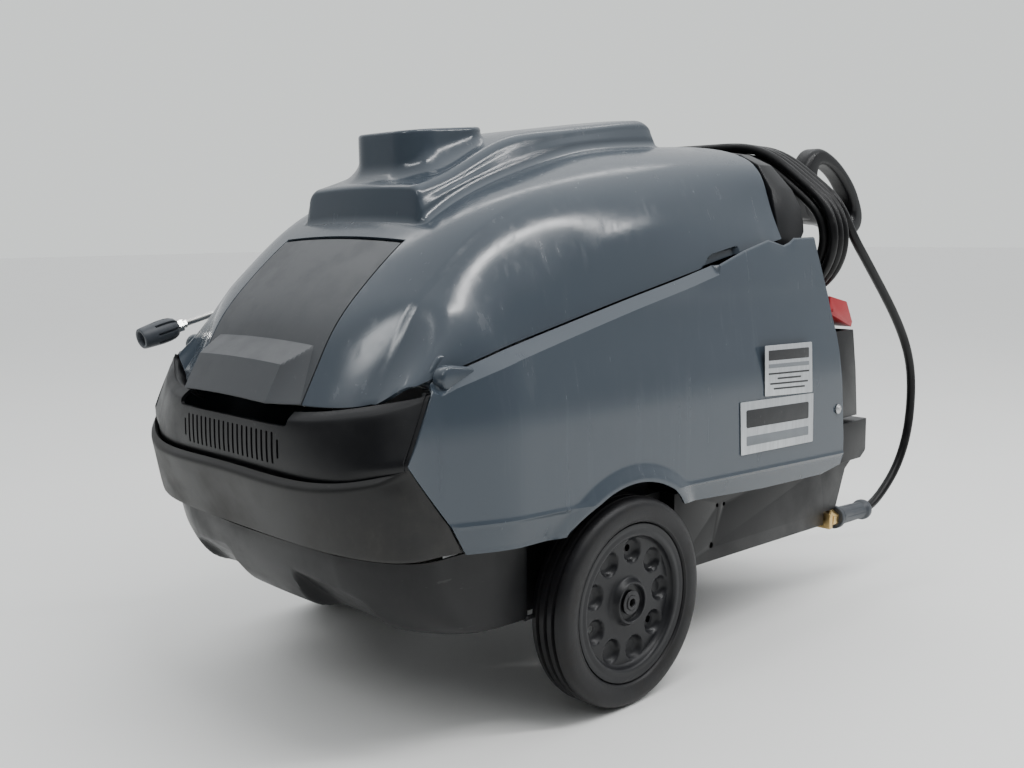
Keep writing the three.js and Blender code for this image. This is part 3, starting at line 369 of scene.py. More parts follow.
def thickened(bm, wall, lip=1.0, outward=(0, 0, 1)):
    """Gives an open skin a wall on its inner side, and rounds the lip round each opening."""
    bm.normal_update()
    if sum((f.normal * f.calc_area()).dot(Vector(outward)) for f in bm.faces) < 0:
        bmesh.ops.reverse_faces(bm, faces=bm.faces[:])
        bm.normal_update()
    for v in [v for v in bm.verts if not v.link_faces]:
        bm.verts.remove(v)
    bm.verts.index_update()
    outer = list(bm.verts)
    faces = list(bm.faces)
    rims = [e for e in bm.edges if e.is_boundary]
    inner = [bm.verts.new(v.co - v.normal * wall / 1000) for v in outer]
    lips = []
    for face in faces:
        bm.faces.new([inner[v.index] for v in reversed(face.verts)])
    for edge in rims:
        loop = edge.link_loops[0]
        a, b = loop.vert, loop.link_loop_next.vert
        bm.faces.new([b, a, inner[a.index], inner[b.index]])
        lips += [edge, bm.edges.get((inner[a.index], inner[b.index]))]
    if lip:
        bmesh.ops.bevel(
            bm, geom=lips, offset=lip / 1000, segments=2, profile=0.5, affect="EDGES", clamp_overlap=True
        )
    return bm


def skin(
    name, grid, wall, look, body, nodes=(), slot=None, lip=1.0, outward=(0, 0, 1), keep=None, sharp=38.0
):
    """A wall of even thickness behind a grid of points."""
    grid = np.asarray(grid, float)
    rows, columns = grid.shape[:2]
    bm = thickened(bm_of(grid, grid_faces(rows, columns, keep=keep)), wall, lip, outward)
    return place(new_object(name, bm), look, body, nodes, slot, sharp)


def rings(name, grid, look, body, nodes=(), slot=None, capped=True, sharp=38.0):
    """A skin through closed rings of points, capped at both ends or closed on itself."""
    grid = np.asarray(grid, float)
    count, columns = grid.shape[:2]
    faces = grid_faces(count, columns, closed=True)
    if capped:
        faces += [tuple(range(columns))[::-1], tuple(range((count - 1) * columns, count * columns))]
    else:
        last = (count - 1) * columns
        faces += [(last + j, last + (j + 1) % columns, (j + 1) % columns, j) for j in range(columns)]
    bm = bm_of(grid, faces)
    bmesh.ops.recalc_face_normals(bm, faces=bm.faces[:])
    return place(new_object(name, bm), look, body, nodes, slot, sharp)


def turned(
    name, profile, start, direction, look, body, nodes=(), slot=None, sides=64, capped=True, shape=None
):
    """A profile of (radius, along) turned about a line. shape(angle, along) may scale each radius."""
    start, along = np.asarray(start, float), np.asarray(direction, float)
    along = along / np.linalg.norm(along)
    across = np.cross(along, (0, 0, 1) if abs(along[2]) < 0.9 else (1, 0, 0))
    across /= np.linalg.norm(across)
    up = np.cross(along, across)
    angles = np.arange(sides) * 2 * math.pi / sides
    grid = []
    for radius, distance in profile:
        r = radius * (shape(angles, distance) if shape else np.ones(sides))
        round_ = np.outer(r * np.cos(angles), across) + np.outer(r * np.sin(angles), up)
        grid.append(start + along * distance + round_)
    return rings(name, grid, look, body, nodes, slot, capped)


def softened(name, node, look, body, slot, width, segments):
    """A copy of a CAD node with its flat faces joined and its edges rounded, which stands for the node."""
    bm = bmesh.new()
    bm.from_mesh(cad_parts[node].data)
    bmesh.ops.remove_doubles(bm, verts=bm.verts, dist=2e-5)
    bmesh.ops.dissolve_limit(bm, angle_limit=math.radians(1.0), verts=bm.verts, edges=bm.edges)
    obj = new_object(name, bm)
    bevel = obj.modifiers.new("edges", "BEVEL")
    bevel.width = width / 1000
    bevel.segments = segments
    bevel.limit_method = "ANGLE"
    bevel.angle_limit = math.radians(30)
    bevel.use_clamp_overlap = True
    bevel.miter_outer = "MITER_ARC"
    settle(obj)
    return place(obj, look, body, (node,), slot, 40)


def settle(obj):
    """Applies all of an object's modifiers."""
    made = bpy.data.meshes.new_from_object(obj.evaluated_get(bpy.context.evaluated_depsgraph_get()))
    obj.modifiers.clear()
    obj.data = made


def cut_by(obj, cutters):
    """Cuts a closed mesh by others, and removes them."""
    for cutter in cutters:
        modifier = obj.modifiers.new("cut", "BOOLEAN")
        modifier.operation = "DIFFERENCE"
        modifier.solver = "EXACT"
        modifier.object = cutter
    settle(obj)
    for cutter in cutters:
        bpy.data.objects.remove(cutter)


def rounded_box(low, high, radius, segments=2):
    """A bmesh box between two corners in mm, with rounded edges."""
    bm = bmesh.new()
    bmesh.ops.create_cube(bm, size=1)
    low, high = row([low])[0], row([high])[0]
    for v in bm.verts:
        v.co = Vector(low + (np.array(v.co) + 0.5) * (high - low))
    bmesh.ops.bevel(
        bm, geom=bm.edges[:], offset=radius / 1000, segments=segments, profile=0.5, affect="EDGES"
    )
    return bm


# ---- camera --------------------------------------------------------------------------------------------
CAMERA_AT = (1.2648, -1.3355, 0.6536)
CAMERA_DOWN, CAMERA_ROUND, CAMERA_ROLL = 8.037, 46.033, -0.585  # degrees
CAMERA_LENS = 38.57


def make_camera():
    pitch, round_, roll = (math.radians(a) for a in (CAMERA_DOWN, CAMERA_ROUND, CAMERA_ROLL))
    flat = math.cos(pitch)
    forward = Vector((-math.sin(round_) * flat, math.cos(round_) * flat, -math.sin(pitch)))
    right = Vector((math.cos(round_), math.sin(round_), 0))
    up = right.cross(forward)
    tilted_right = right * math.cos(roll) + up * math.sin(roll)
    tilted_up = up * math.cos(roll) - right * math.sin(roll)
    data = bpy.data.cameras.new("camera")
    data.lens = CAMERA_LENS
    data.sensor_width = 36
    data.clip_end = 60
    camera = bpy.data.objects.new("camera", data)
    camera.matrix_world = Matrix.Translation(CAMERA_AT) @ Matrix(
        (tilted_right, tilted_up, -forward)
    ).transposed().to_4x4()
    bpy.context.scene.collection.objects.link(camera)
    bpy.context.scene.camera = camera


make_camera()

# ---- hose ----------------------------------------------------------------------------------------------
HOSE_RISE = [
    (285, 737.5, 131), (285.5, 762, 132.5), (290, 802, 158), (294, 846, 200), (297, 872, 256),
    (298, 880, 315), (298, 876, 381), (298, 845, 440), (298, 790, 500), (298, 728, 556), (298, 672, 606),
    (297, 641, 634),
]
HOSE_TAIL = [
    (-138, 626, 777), (-167.5, 628, 771), (-192.4, 628, 754.4), (-209.1, 628, 729.5), (-215, 629, 698),
    (-215, 630, 662), (-215, 632, 630), (-215, 635, 596), (-215, 636, 566), (-215, 636, 540),
    (-221.9, 641.2, 507.9), (-240.8, 655.3, 484.3), (-266.5, 674.5, 475.7), (-292.3, 693.8, 484.3),
    (-311.1, 707.8, 507.9), (-318, 713, 540), (-318, 713, 590), (-318, 713, 632),
]
# The winding's loop: a corner arc and a shoulder arc on each side, (x, z, radius of the outside).
CORNER, SHOULDER_ARC = (208, 632, 110), (102, 626, 180)
SLOPE = 52.0
OUTER_ROW, INNER_ROW = 12.0, 30.0
COLUMNS = (613.5, 596.3, 579.1, 561.9)
SLOTS = [(OUTER_ROW, y) for y in COLUMNS] + [(INNER_ROW, y) for y in (561.9, 579.1, 597.0)]
TURN_POINTS = 40
FIRST, LAST = 0.045, 6.305  # where the winding begins and ends, in turns from the right side


def winding_loop(count):
    """Points and outward directions of the winding's outside, from the right side upwards."""
    arcs = [(CORNER, 1, 0, SLOPE), (SHOULDER_ARC, 1, SLOPE, 90), (SHOULDER_ARC, -1, 90, 180 - SLOPE)]
    arcs += [(CORNER, -1, 180 - SLOPE, 270), (CORNER, 1, 270, 360)]
    points, normals = [], []
    for (x, z, radius), side, start, end in arcs:
        for angle in np.radians(np.linspace(start, end, 25)):
            out = np.array([math.cos(angle), math.sin(angle)])
            points.append(np.array([side * x, z]) + radius * out)
            normals.append(out)
    both = np.hstack([points, normals])
    s = chords(both[:, :2])
    at = np.linspace(0, s[-1], count, endpoint=False)
    read = np.stack([np.interp(at, s, both[:, i]) for i in range(4)], axis=1)
    return read[:, :2], read[:, 2:] / np.linalg.norm(read[:, 2:], axis=1)[:, None]


def hose_route():
    points, normals = winding_loop(TURN_POINTS * 25)
    wound = []
    for step in range(int((LAST - FIRST) * TURN_POINTS) + 1):
        turn = FIRST + step / TURN_POINTS
        part = turn % 1
        i = int(part * len(points))
        slot = int(turn)
        follow = min(slot + 1, len(SLOTS) - 1)
        blend = float(smoothstep(part, 0.64, 0.84))
        inset, y = ((1 - blend) * np.array(SLOTS[slot]) + blend * np.array(SLOTS[follow])).tolist()
        loose = math.sin(turn * 9.1) * math.sin(turn * 3.7 + 1)
        inset += 1.6 * loose
        y += 0.5 * math.sin(turn * 7.3 + 2) * math.sin(turn * 2.9)
        if turn > 6:
            y += float(smoothstep(part, 0.14, LAST - 6)) * (626 - y)
        x, z = points[i] - normals[i] * inset
        wound.append((x, y, z))
    return HOSE_RISE + wound + HOSE_TAIL


def make_hose():
    route = hose_route()
    data = bpy.data.curves.new("high_pressure_hose", "CURVE")
    data.dimensions = "3D"
    data.bevel_depth = HOSE / 2000
    data.bevel_resolution = 6
    data.resolution_u = 6
    data.use_fill_caps = True
    line = data.splines.new("NURBS")
    line.points.add(len(route) - 1)
    for point, place_ in zip(line.points, row(route)):
        point.co = (*place_, 1)
    line.order_u = 4
    line.use_endpoint_u = True
    hose = bpy.data.objects.new("high_pressure_hose", data)
    bpy.context.scene.collection.objects.link(hose)
    data.materials.append(HOSE_LOOK)
    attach(hose, "chassis")
    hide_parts("hose_rise", "hose_winding", "hose_tail")


make_hose()

# ---- hood surface --------------------------------------------------------------------------------------
ROOF = [
    (138, -387, 444), (138, -361, 491), (138, -336, 533), (138, -289, 584), (138, -229, 635),
    (136, -150, 685), (134, -40, 726), (130, 90, 760), (125, 250, 778), (120, 410, 787),
]
SHOULDER = [
    (233, -347, 452), (227, -319, 494), (226, -288, 546), (227, -255, 583), (230, -192, 634),
    (235, -122, 675), (240, -30, 706), (240, 100, 730), (242, 250, 745), (244, 410, 753),
]
BELT = [
    (281, -323, 474), (290, -289, 486), (298, -245, 499), (300, -200, 511), (300, -140, 524),
    (300, -60, 541), (300, 30, 560), (300, 140, 582), (300, 270, 608), (300, 410, 634),
]
RAIL_KNOTS = chords(ROOF)
HOOD_WALL = 4.0
BULGE = (15, 0, 9)
WINDOW_TOP = -220.5
WINDOW_HALF = 138.0
HUMP_FRONT = -192.0
# Stations of the hump: y, half width, height of its side's top and of its crown.
HUMP = np.array([
    (-192, 134, 690, 714), (-110, 131, 722, 742), (-15, 127, 762, 785), (70, 123, 783, 802),
    (180, 116, 800, 816), (270, 110, 812, 827), (318, 107, 815, 831), (345, 105, 816, 831),
], float)
FOOT = 15.0  # radius of the fillet at the hump's foot


def roof_at(y):
    """The rails' parameter where the roof's edge is at y."""
    fine = np.linspace(0, RAIL_KNOTS[-1], 2000)
    return np.interp(y, spline(RAIL_KNOTS, np.array(ROOF)[:, 1], fine), fine)


def half_rib(u, crease):
    """A dense line from the middle of the hood to its belt, and the index of its shoulder."""
    roof, shoulder, belt = (spline(RAIL_KNOTS, np.array(r, float), u)[0] for r in (ROOF, SHOULDER, BELT))
    middle = np.array([0, roof[1] - 5 * (1 - u / RAIL_KNOTS[-1]), roof[2] + 5])
    flank = (shoulder + belt) / 2 + np.array(BULGE) * (1 - 0.85 * float(smoothstep(roof[1], 60, 410)))
    half = np.array([middle, roof, shoulder, flank, belt])
    full = np.vstack([(half[:0:-1]) * [-1, 1, 1], half])
    knots = chords(full, 0.5)
    at = np.linspace(knots[4], knots[-1], 401)
    dense = spline(knots, full, at)
    top = int(np.argmin(np.abs(at - knots[6])))
    flat = dense[:, 0] < roof[0]
    rise = 1 - (dense[flat, 0] / roof[0]) ** 2
    dense[flat, 1:] = roof[1:] + np.outer(rise, middle[1:] - roof[1:])
    if crease > 0:
        s = chords(dense)
        away = s - s[top]
        before, after = np.clip(1 + away / 5, 0, 1) ** 2, np.exp(-np.maximum(away, 0) / 14)
        depth = crease * np.where(away < 0, before, after)
        tangent = np.gradient(dense, axis=0)
        normal = np.cross(tangent, (0, -1, 0))
        normal /= np.linalg.norm(normal, axis=1)[:, None]
        normal *= np.sign(normal[:, 2:3].sum() or 1)
        dense = dense - normal * depth[:, None]
    return dense, top


def front_corner(y):
    """How much narrower the hump is at y, where its front corners round off."""
    into = np.clip((np.asarray(y, float) - HUMP_FRONT) / 9, 0, 1)
    return 7 * (1 - np.sqrt(1 - (1 - into) ** 2))


def hump_along(y):
    """How much of the hump stands at y: 0 outside it, 1 along its length."""
    y = np.asarray(y, float)
    rise = np.interp(y, [HUMP_FRONT - 0.5, HUMP_FRONT + 4], [0, 0.87])
    round_in = np.clip((y - HUMP_FRONT - 4) / 8, 0, 1)
    front = np.where(y > HUMP_FRONT + 4, 0.87 + 0.13 * np.sqrt(1 - (1 - round_in) ** 2), rise)
    round_out = np.clip((y - 304) / 24, 0, 1)
    rear = 1 - 0.32 * (1 - np.sqrt(1 - round_out**2))
    wall = np.clip((y - 328) / 6, 0, 1)
    rear = np.where(y > 328, 0.68 + (0.16 - 0.68) * wall, rear)
    foot = np.clip((y - 334) / 14, 0, 1)
    return front * np.where(y > 334, 0.16 * (1 - foot) ** 2, rear)


def hump_height(x, y, base):
    """The height of the hood's skin at (x, y) over the plain skin's height base."""
    half, edge, crown = (spline(HUMP[:, 0], HUMP[:, k], y) for k in (1, 2, 3))
    half = half - front_corner(y)
    edge = np.maximum(edge, crown - 20)
    ax = np.abs(x)
    flat = half - 26
    level = crown - 3 * np.clip(ax / flat, 0, 1) ** 2
    over = np.clip((ax - flat) / 20, 0, 1)
    shoulder = crown - 3 - (crown - 3 - edge) * (1 - np.sqrt(1 - over**2))
    foot = base + FOOT
    side = edge + (foot - edge) * np.clip((ax - half + 6) / 6, 0, 1)
    out = FOOT - np.clip(ax - half, 0, FOOT)
    fillet = base + FOOT - np.sqrt(FOOT**2 - out**2)
    section = np.select([ax <= flat, ax <= half - 6, ax <= half], [level, shoulder, side], fillet)
    return base + np.maximum(section - base, 0) * hump_along(y)


def column_targets(half):
    """The x of each column across the middle of the hood, where the hump's half width is half."""
    inner = np.linspace(0, half - 26, 16)
    shoulder = half - 6 - 20 * np.array([0.93, 0.84, 0.74, 0.63, 0.51, 0.39, 0.27, 0.17, 0.09, 0.03, 0])
    wall = half - np.array([4.5, 3, 1.5, 0])
    fillet = half + FOOT * np.array([0.02, 0.08, 0.17, 0.3, 0.45, 0.62, 0.8, 1.0])
    return np.concatenate([inner, shoulder, wall, fillet])


def hood_rows():
    """The roof's y of each row of the hood's grid."""
    rows = [np.linspace(-387, WINDOW_TOP, 34), np.linspace(WINDOW_TOP, HUMP_FRONT - 3, 9)[1:]]
    rows.append(HUMP_FRONT + np.array([-2, -1, -0.5, 0.6, 1.8, 3, 4, 4.3, 5, 6, 7, 8.5, 10, 12]))
    rows.append(np.linspace(HUMP_FRONT + 16, 300, 96))
    rows.append(
        np.array([304, 309, 314, 318, 321, 323.5, 325.5, 327, 328, 329, 330.5, 332, 334, 335, 337, 340])
    )
    rows.append(np.linspace(344, 410, 14))
    return np.concatenate(rows)


RECESS = (163, 279)  # where the hood's lower edge has its finger recess
FLANK_TOP = 14  # columns from the hump's foot to the shoulder
FLANK_STOPS = np.r_[np.linspace(0, 0.86, 27)[1:], np.linspace(0.87, 1, 14)]  # and from there to the belt


def hood_half(y):
    """The right half of the hood's rib whose roof edge is at y, from the middle outwards."""
    u = roof_at(y)
    crease = 1.8 * (1 - float(smoothstep(y, -250, -40)))
    dense, top = half_rib(u, crease)
    half = float(spline(HUMP[:, 0], HUMP[:, 1], y)[0]) if y > HUMP_FRONT else 134.0
    half -= float(front_corner(y)) if y > HUMP_FRONT - 4 else 0
    targets = column_targets(half)
    if y <= WINDOW_TOP:
        targets[np.argmin(np.abs(targets - WINDOW_HALF))] = WINDOW_HALF
    x = dense[: top + 1, 0]
    centre = np.stack([targets] + [np.interp(targets, x, dense[: top + 1, k]) for k in (1, 2)], 1)
    centre[:, 2] = hump_height(centre[:, 0], np.full(len(centre), y), centre[:, 2])
    s = chords(dense)
    start = np.interp(targets[-1], x, s[: top + 1])
    above, below = np.linspace(start, s[top], FLANK_TOP + 1)[1:], s[top] + (s[-1] - s[top]) * FLANK_STOPS
    stops = np.concatenate([above, below])
    rest = np.stack([np.interp(stops, s, dense[:, k]) for k in range(3)], 1)
    begins, ends = smoothstep(y, RECESS[0], RECESS[0] + 40), smoothstep(y, RECESS[1] - 5, RECESS[1])
    tall = 13 * float(begins * (1 - ends))
    if tall > 0.1:
        rest[:, 0] -= 8 * smoothstep(rest[-1, 2] + tall - rest[:, 2], 0, 2)
    return np.vstack([centre, rest])


def both_halves(half):
    half = np.asarray(half)
    return np.concatenate([half[..., :0:-1, :] * [-1, 1, 1], half], axis=-2)


def make_hood():
    ys = hood_rows()
    grid = both_halves(np.array([hood_half(y) for y in ys]))
    columns = grid.shape[1]
    middle = columns // 2

    def keep(i, j):
        if ys[i + 1] > WINDOW_TOP + 1e-6:
            return True
        x = grid[i, [j, j + 1], 0]
        return bool(np.abs(x).max() > WINDOW_HALF + 1e-3) and not (middle - 20 < j < middle + 19)

    skin("hood_skin", grid, HOOD_WALL, GLOSS, "hood", ("hood",), "gloss_body", lip=1.2, keep=keep, sharp=60)


make_hood()

# ---- chimney -------------------------------------------------------------------------------------------
CHIMNEY_Y, CHIMNEY_HALF, CHIMNEY_CORNER = -80.0, 76.0, 45.0
CHIMNEY_FRONT, CHIMNEY_REAR = 790.0, 802.0


def rounded_square(half, corner):
    """Points and outward directions round a square with round corners."""
    points, normals = [], []
    for quarter in range(4):
        centre = np.array([half - corner, half - corner])
        turn = quarter * math.pi / 2
        spin = np.array([[math.cos(turn), -math.sin(turn)], [math.sin(turn), math.cos(turn)]])
        for angle in np.linspace(0, math.pi / 2, 18):
            out = np.array([math.cos(angle), math.sin(angle)])
            points.append(spin @ (centre + corner * out))
            normals.append(spin @ out)
        here, following = spin @ (centre + [0, corner]), spin @ (centre * [-1, 1] + [0, corner])
        for part in (0.2, 0.4, 0.6, 0.8):
            points.append(here * (1 - part) + following * part)
            normals.append(spin @ np.array([0, 1.0]))
    return np.array(points), np.array(normals)


def roof_height(x, y):
    """The height of the hood's skin, hump included, near its middle."""
    u = roof_at(y)
    roof = spline(RAIL_KNOTS, np.array(ROOF, float), u)
    return hump_height(x, y, roof[:, 2] + 5 * (1 - (x / roof[:, 0]) ** 2))


def make_chimney():
    around, out = rounded_square(CHIMNEY_HALF, CHIMNEY_CORNER)
    slope = (CHIMNEY_REAR - CHIMNEY_FRONT) / (2 * CHIMNEY_HALF)
    top = (CHIMNEY_FRONT + CHIMNEY_REAR) / 2 + slope * around[:, 1]
    foot = roof_height(around[:, 0], around[:, 1] + CHIMNEY_Y)
    tall = top - foot
    room = np.minimum(44 - 20 * smoothstep(-out[:, 1], 0.2, 0.9), 0.66 * tall)
    grid = []
    for angle in np.linspace(0, math.pi / 2, 13):
        away = room * (1 - math.sin(angle))
        xy = around + out * away[:, None]
        z = roof_height(xy[:, 0], xy[:, 1] + CHIMNEY_Y) + room * (1 - math.cos(angle)) + 0.15
        if angle == 0:
            z = z - 1.5
        grid.append(np.column_stack([xy[:, 0], xy[:, 1] + CHIMNEY_Y, z]))
    wall_foot = grid[-1][:, 2]
    for part in (0.25, 0.5, 0.75, 1.0):
        z = wall_foot + (top - 5 - wall_foot) * part
        grid.append(np.column_stack([around[:, 0], around[:, 1] + CHIMNEY_Y, z]))
    rim = [(-0.4, -3), (-1.5, -1.2), (-3.2, -0.2), (-5, 0), (-6.6, -0.6), (-7.6, -2)]
    rim += [(-8, -4), (-8, -30), (-8, -90)]
    for inset, down in rim:
        xy = around + out * inset
        z = (CHIMNEY_FRONT + CHIMNEY_REAR) / 2 + slope * around[:, 1] + down
        grid.append(np.column_stack([xy[:, 0], xy[:, 1] + CHIMNEY_Y, z]))
    rings("chimney", grid, GLOSS, "hood", ("hood",), "gloss_body", capped=False, sharp=50)


make_chimney()


# ---- hinge knuckles ------------------------------------------------------------------------------------
def slab(name, line, x0, x1, look, body, nodes=(), slot=None, edge=3.0, segments=3):
    """An outline in the side view, given a thickness across from x0 to x1, with rounded edges."""
    count = len(line)
    points = [(x, y, z) for x in (x0, x1) for y, z in line]
    faces = [tuple(range(count)), tuple(range(2 * count - 1, count - 1, -1))]
    faces += [(j, count + j, count + (j + 1) % count, (j + 1) % count) for j in range(count)]
    bm = bm_of(points, faces)
    bmesh.ops.recalc_face_normals(bm, faces=bm.faces[:])
    caps = [e for e in bm.edges if abs(e.verts[0].co.x - e.verts[1].co.x) < 1e-7]
    bmesh.ops.bevel(
        bm, geom=caps, offset=edge / 1000, segments=segments, profile=0.5, affect="EDGES", clamp_overlap=True
    )
    return place(new_object(name, bm), look, body, nodes, slot, 45)


def teardrop(y, z, radius, tail_y, tail_z, tail_radius):
    """The outline round two circles of different size."""
    a, b = np.array([y, z], float), np.array([tail_y, tail_z], float)
    d = b - a
    heading = math.atan2(d[1], d[0])
    open_ = math.acos((radius - tail_radius) / np.linalg.norm(d))
    line = []
    for centre, r, start, end in (
        (a, radius, heading + open_, heading + 2 * math.pi - open_),
        (b, tail_radius, heading - open_, heading + open_),
    ):
        for angle in np.linspace(start, end, 20):
            line.append(tuple(centre + r * np.array([math.cos(angle), math.sin(angle)])))
    return line


PIVOT_Y, PIVOT_Z = -290.0, 481.0
HOOD_LUG, PANEL_LUG = (256, 284), (287, 308)  # how far out each knuckle begins and ends
for side_name, sign in SIDES:
    lug = teardrop(PIVOT_Y, PIVOT_Z, 17, -283, 495, 13)
    x0, x1 = sorted(sign * x for x in HOOD_LUG)
    slab("hood_knuckle_" + side_name, lug, x0, x1, GLOSS, "hood", ("hood",), "gloss_body", 4)
    lug = teardrop(PIVOT_Y, PIVOT_Z, 16, -262, 484, 9)
    x0, x1 = sorted(sign * x for x in PANEL_LUG)
    panel = ("side_panel_" + side_name,)
    slab("panel_knuckle_" + side_name, lug, x0, x1, GLOSS, "chassis", panel, "gloss_body", 4)

# ---- service cover -------------------------------------------------------------------------------------
COVER_HALF = 135.5
COVER_TOP = -226.0
SCOOP_FACE = 101.0  # half width of the scoop's flat face
SCOOP_FOOT_TOP, SCOOP_FOOT_LOW = 115.0, 134.0  # half widths where its cheeks meet the cover
SCOOP_TOP, SCOOP_EDGE = 511.0, 489.0
SCOOP_OUT = 27.0


def make_cover():
    roof = spline(RAIL_KNOTS, np.array(ROOF, float), np.linspace(0, RAIL_KNOTS[-1], 2000))
    top_y, edge_y = np.interp([SCOOP_TOP, SCOOP_EDGE], roof[:, 2], roof[:, 1])
    ys = np.concatenate([np.linspace(-387, edge_y - 1.2, 22), np.linspace(edge_y, top_y, 12)])
    ys = np.concatenate([ys, [top_y + 1.2], np.linspace(top_y + 4, COVER_TOP, 36)])
    grid = []
    for y in ys:
        dense, top = half_rib(roof_at(y), 0)
        x = dense[: top + 1, 0]
        z = float(np.interp(y, roof[:, 1], roof[:, 2]))
        foot = SCOOP_FOOT_TOP + (SCOOP_FOOT_LOW - SCOOP_FOOT_TOP) * np.clip((SCOOP_TOP - z) / 66, 0, 1)
        half = np.concatenate([np.linspace(0, SCOOP_FACE - 1.5, 16), np.linspace(SCOOP_FACE, foot, 8)])
        half = np.concatenate([half, np.linspace(foot + 0.4, COVER_HALF, 6)])
        across = np.concatenate([-half[:0:-1], half])
        line = [across] + [np.interp(np.abs(across), x, dense[: top + 1, k]) for k in (1, 2)]
        line = np.stack(line, 1)
        ramp = np.clip((SCOOP_TOP - z) / (SCOOP_TOP - SCOOP_EDGE), 0, 1)
        cheek = np.clip((foot - np.abs(across)) / (foot - SCOOP_FACE), 0, 1)
        line[:, 1] -= np.minimum(ramp, cheek) * SCOOP_OUT
        grid.append(line)
    skin(
        "cover_skin", grid, 3.5, SATIN, "service_cover", ("service_cover",), "satin_cover",
        lip=1.2, outward=(0, -1, 1), sharp=16,
    )
    for side_name, sign in SIDES:
        x0, x1 = sorted((sign * 112, sign * 128))
        arm = [(-236, 627), (-230, 630.5), (-216.5, 631.5), (-216.5, 628), (-226, 618), (-236, 611)]
        slab(
            "cover_arm_" + side_name, arm, x0, x1, SATIN, "service_cover", ("service_cover",), "satin_cover", 1
        )
    underside = [(-408, 447), (-384, 447), (-384, 452), (-408, 452)]
    slab(
        "cover_scoop_floor", underside, -SCOOP_FACE + 4, SCOOP_FACE - 4, SATIN, "service_cover",
        ("service_cover",), "satin_cover", 0.8,
    )


make_cover()

# ---- face of the side panels, which the bumper meets ---------------------------------------------------
ARCH = 168.0
ARCH_FOOT = 262.0
STEP_Y = 219.0  # behind this the panel's face runs up to its edge, without a ledge
ARCH_HALF = math.sqrt(ARCH**2 - (ARCH_FOOT - AXLE_Z) ** 2)
PANEL_UPPER = [
    (-359.4, 389.2), (-318, 472.5), (-289, 484), (-245, 497), (-200, 509), (-140, 522), (-60, 539),
    (30, 558), (140, 580), (217, 597), (286, 617), (357, 633), (378, 629), (400, 624), (416, 628),
    (430, 635), (489, 636), (505, 580), (521, 543), (537, 478), (548, 380), (556, 300), (562, 256),
]
PANEL_LOWER = [
    (-359.4, 387), (-276, 268), (-200, 263), (-ARCH_HALF, ARCH_FOOT), (ARCH_HALF, ARCH_FOOT),
    (334, 246), (510, 240), (562, 250),
]


def crease_at(y):
    """Height of the crease along the sill."""
    return 308 - 36 * (y + 314) / 859


def panel_out(y, z):
    """How far out the panel's face stands."""
    y, z = np.asarray(y, float), np.asarray(z, float)
    lean = 18 * smoothstep(z, 400, 560) + 8 * smoothstep(z, 560, 640)
    tuck = 14 * np.clip((crease_at(y) - z) / 35, 0, 1)
    nose = 30 * smoothstep(-y, 200, 365)
    flat = 338 - lean - nose
    flare = 1 - smoothstep(np.hypot(y, z - AXLE_Z), ARCH + 2, ARCH + 27)
    bead = 1.3 * np.exp(-(((z - crease_at(y)) / 3.2) ** 2)) * (1 - flare)
    return flat + (FACE - 0.5 - flat) * flare - tuck + bead


# ---- bumper --------------------------------------------------------------------------------------------
UPPER_LEVELS = [
    [(0, -402, 346), (160, -398, 348), (250, -375, 355), (300, -340, 366), (303, -330, 372)],
    [(0, -412, 362), (160, -408, 360), (255, -384, 366), (304, -352, 380), (307, -345, 386)],
    [(0, -410, 424), (130, -408, 424), (211, -388, 431), (275, -353, 447), (303, -322, 462)],
    [(0, -405, 431), (128, -402, 431), (208, -382, 439), (271, -348, 453), (299, -321, 466)],
    [(0, -398, 436), (125, -395, 436), (204, -376, 444), (266, -344, 457), (295, -320, 468)],
]
LOWER_LEVELS = [
    [(0, -398, 270), (160, -395, 270), (256, -375, 270), (296, -340, 270), (300, -280, 272)],
    [(0, -400, 276), (160, -398, 276), (260, -378, 276), (300, -342, 277), (303, -284, 278)],
    [(0, -424, 344), (160, -420, 343), (256, -393, 352), (306, -362, 368), (317, -352, 374)],
    [(0, -425, 352), (160, -421, 351), (256, -394, 361), (306, -363, 378), (317, -353, 384)],
    [(0, -417, 359), (158, -413, 358), (254, -388, 368), (303, -357, 384), (313, -350, 388)],
]
PANEL_EDGE = [(-277, 266), (-360, 388), (-319, 474)]  # the side panel's slanting front edge, (y, z)
BUMPER_WALL = 5.0
SLOT_COUNT, SLOT_PITCH = 21, 11.6  # upright slots in the upper bumper


def bumper_grid(levels, columns, gap):
    """The bumper's outer face: half plans at rising heights, each cut off where the side panel begins."""
    halves = []
    for half in rounded_corners(np.array(levels, float), 3):
        full = np.vstack([half[:0:-1] * [-1, 1, 1], half])
        knots = chords(full, 0.5)
        dense = spline(knots, full, np.linspace(knots[4], knots[-1], 400))
        edge = np.interp(dense[:, 2], [p[1] for p in PANEL_EDGE], [p[0] for p in PANEL_EDGE]) - gap
        beyond = np.nonzero(dense[:, 1] > edge)[0]
        end = beyond[0] if len(beyond) and beyond[0] > 200 else len(dense)
        half = resampled(dense[:end], columns)
        reach = float(panel_out(half[-1, 1], half[-1, 2])) - 0.8 - half[-1, 0]
        half[:, 0] += reach * smoothstep(half[:, 1], half[-1, 1] - 34, half[-1, 1])
        tucked = [half[-1] + step for step in ((-0.8, 0.9, 0), (-3, 1.6, 0), (-8, 2, 0), (-9, 14, 0))]
        halves.append(np.vstack([half, tucked]))
    return both_halves(np.array(halves))


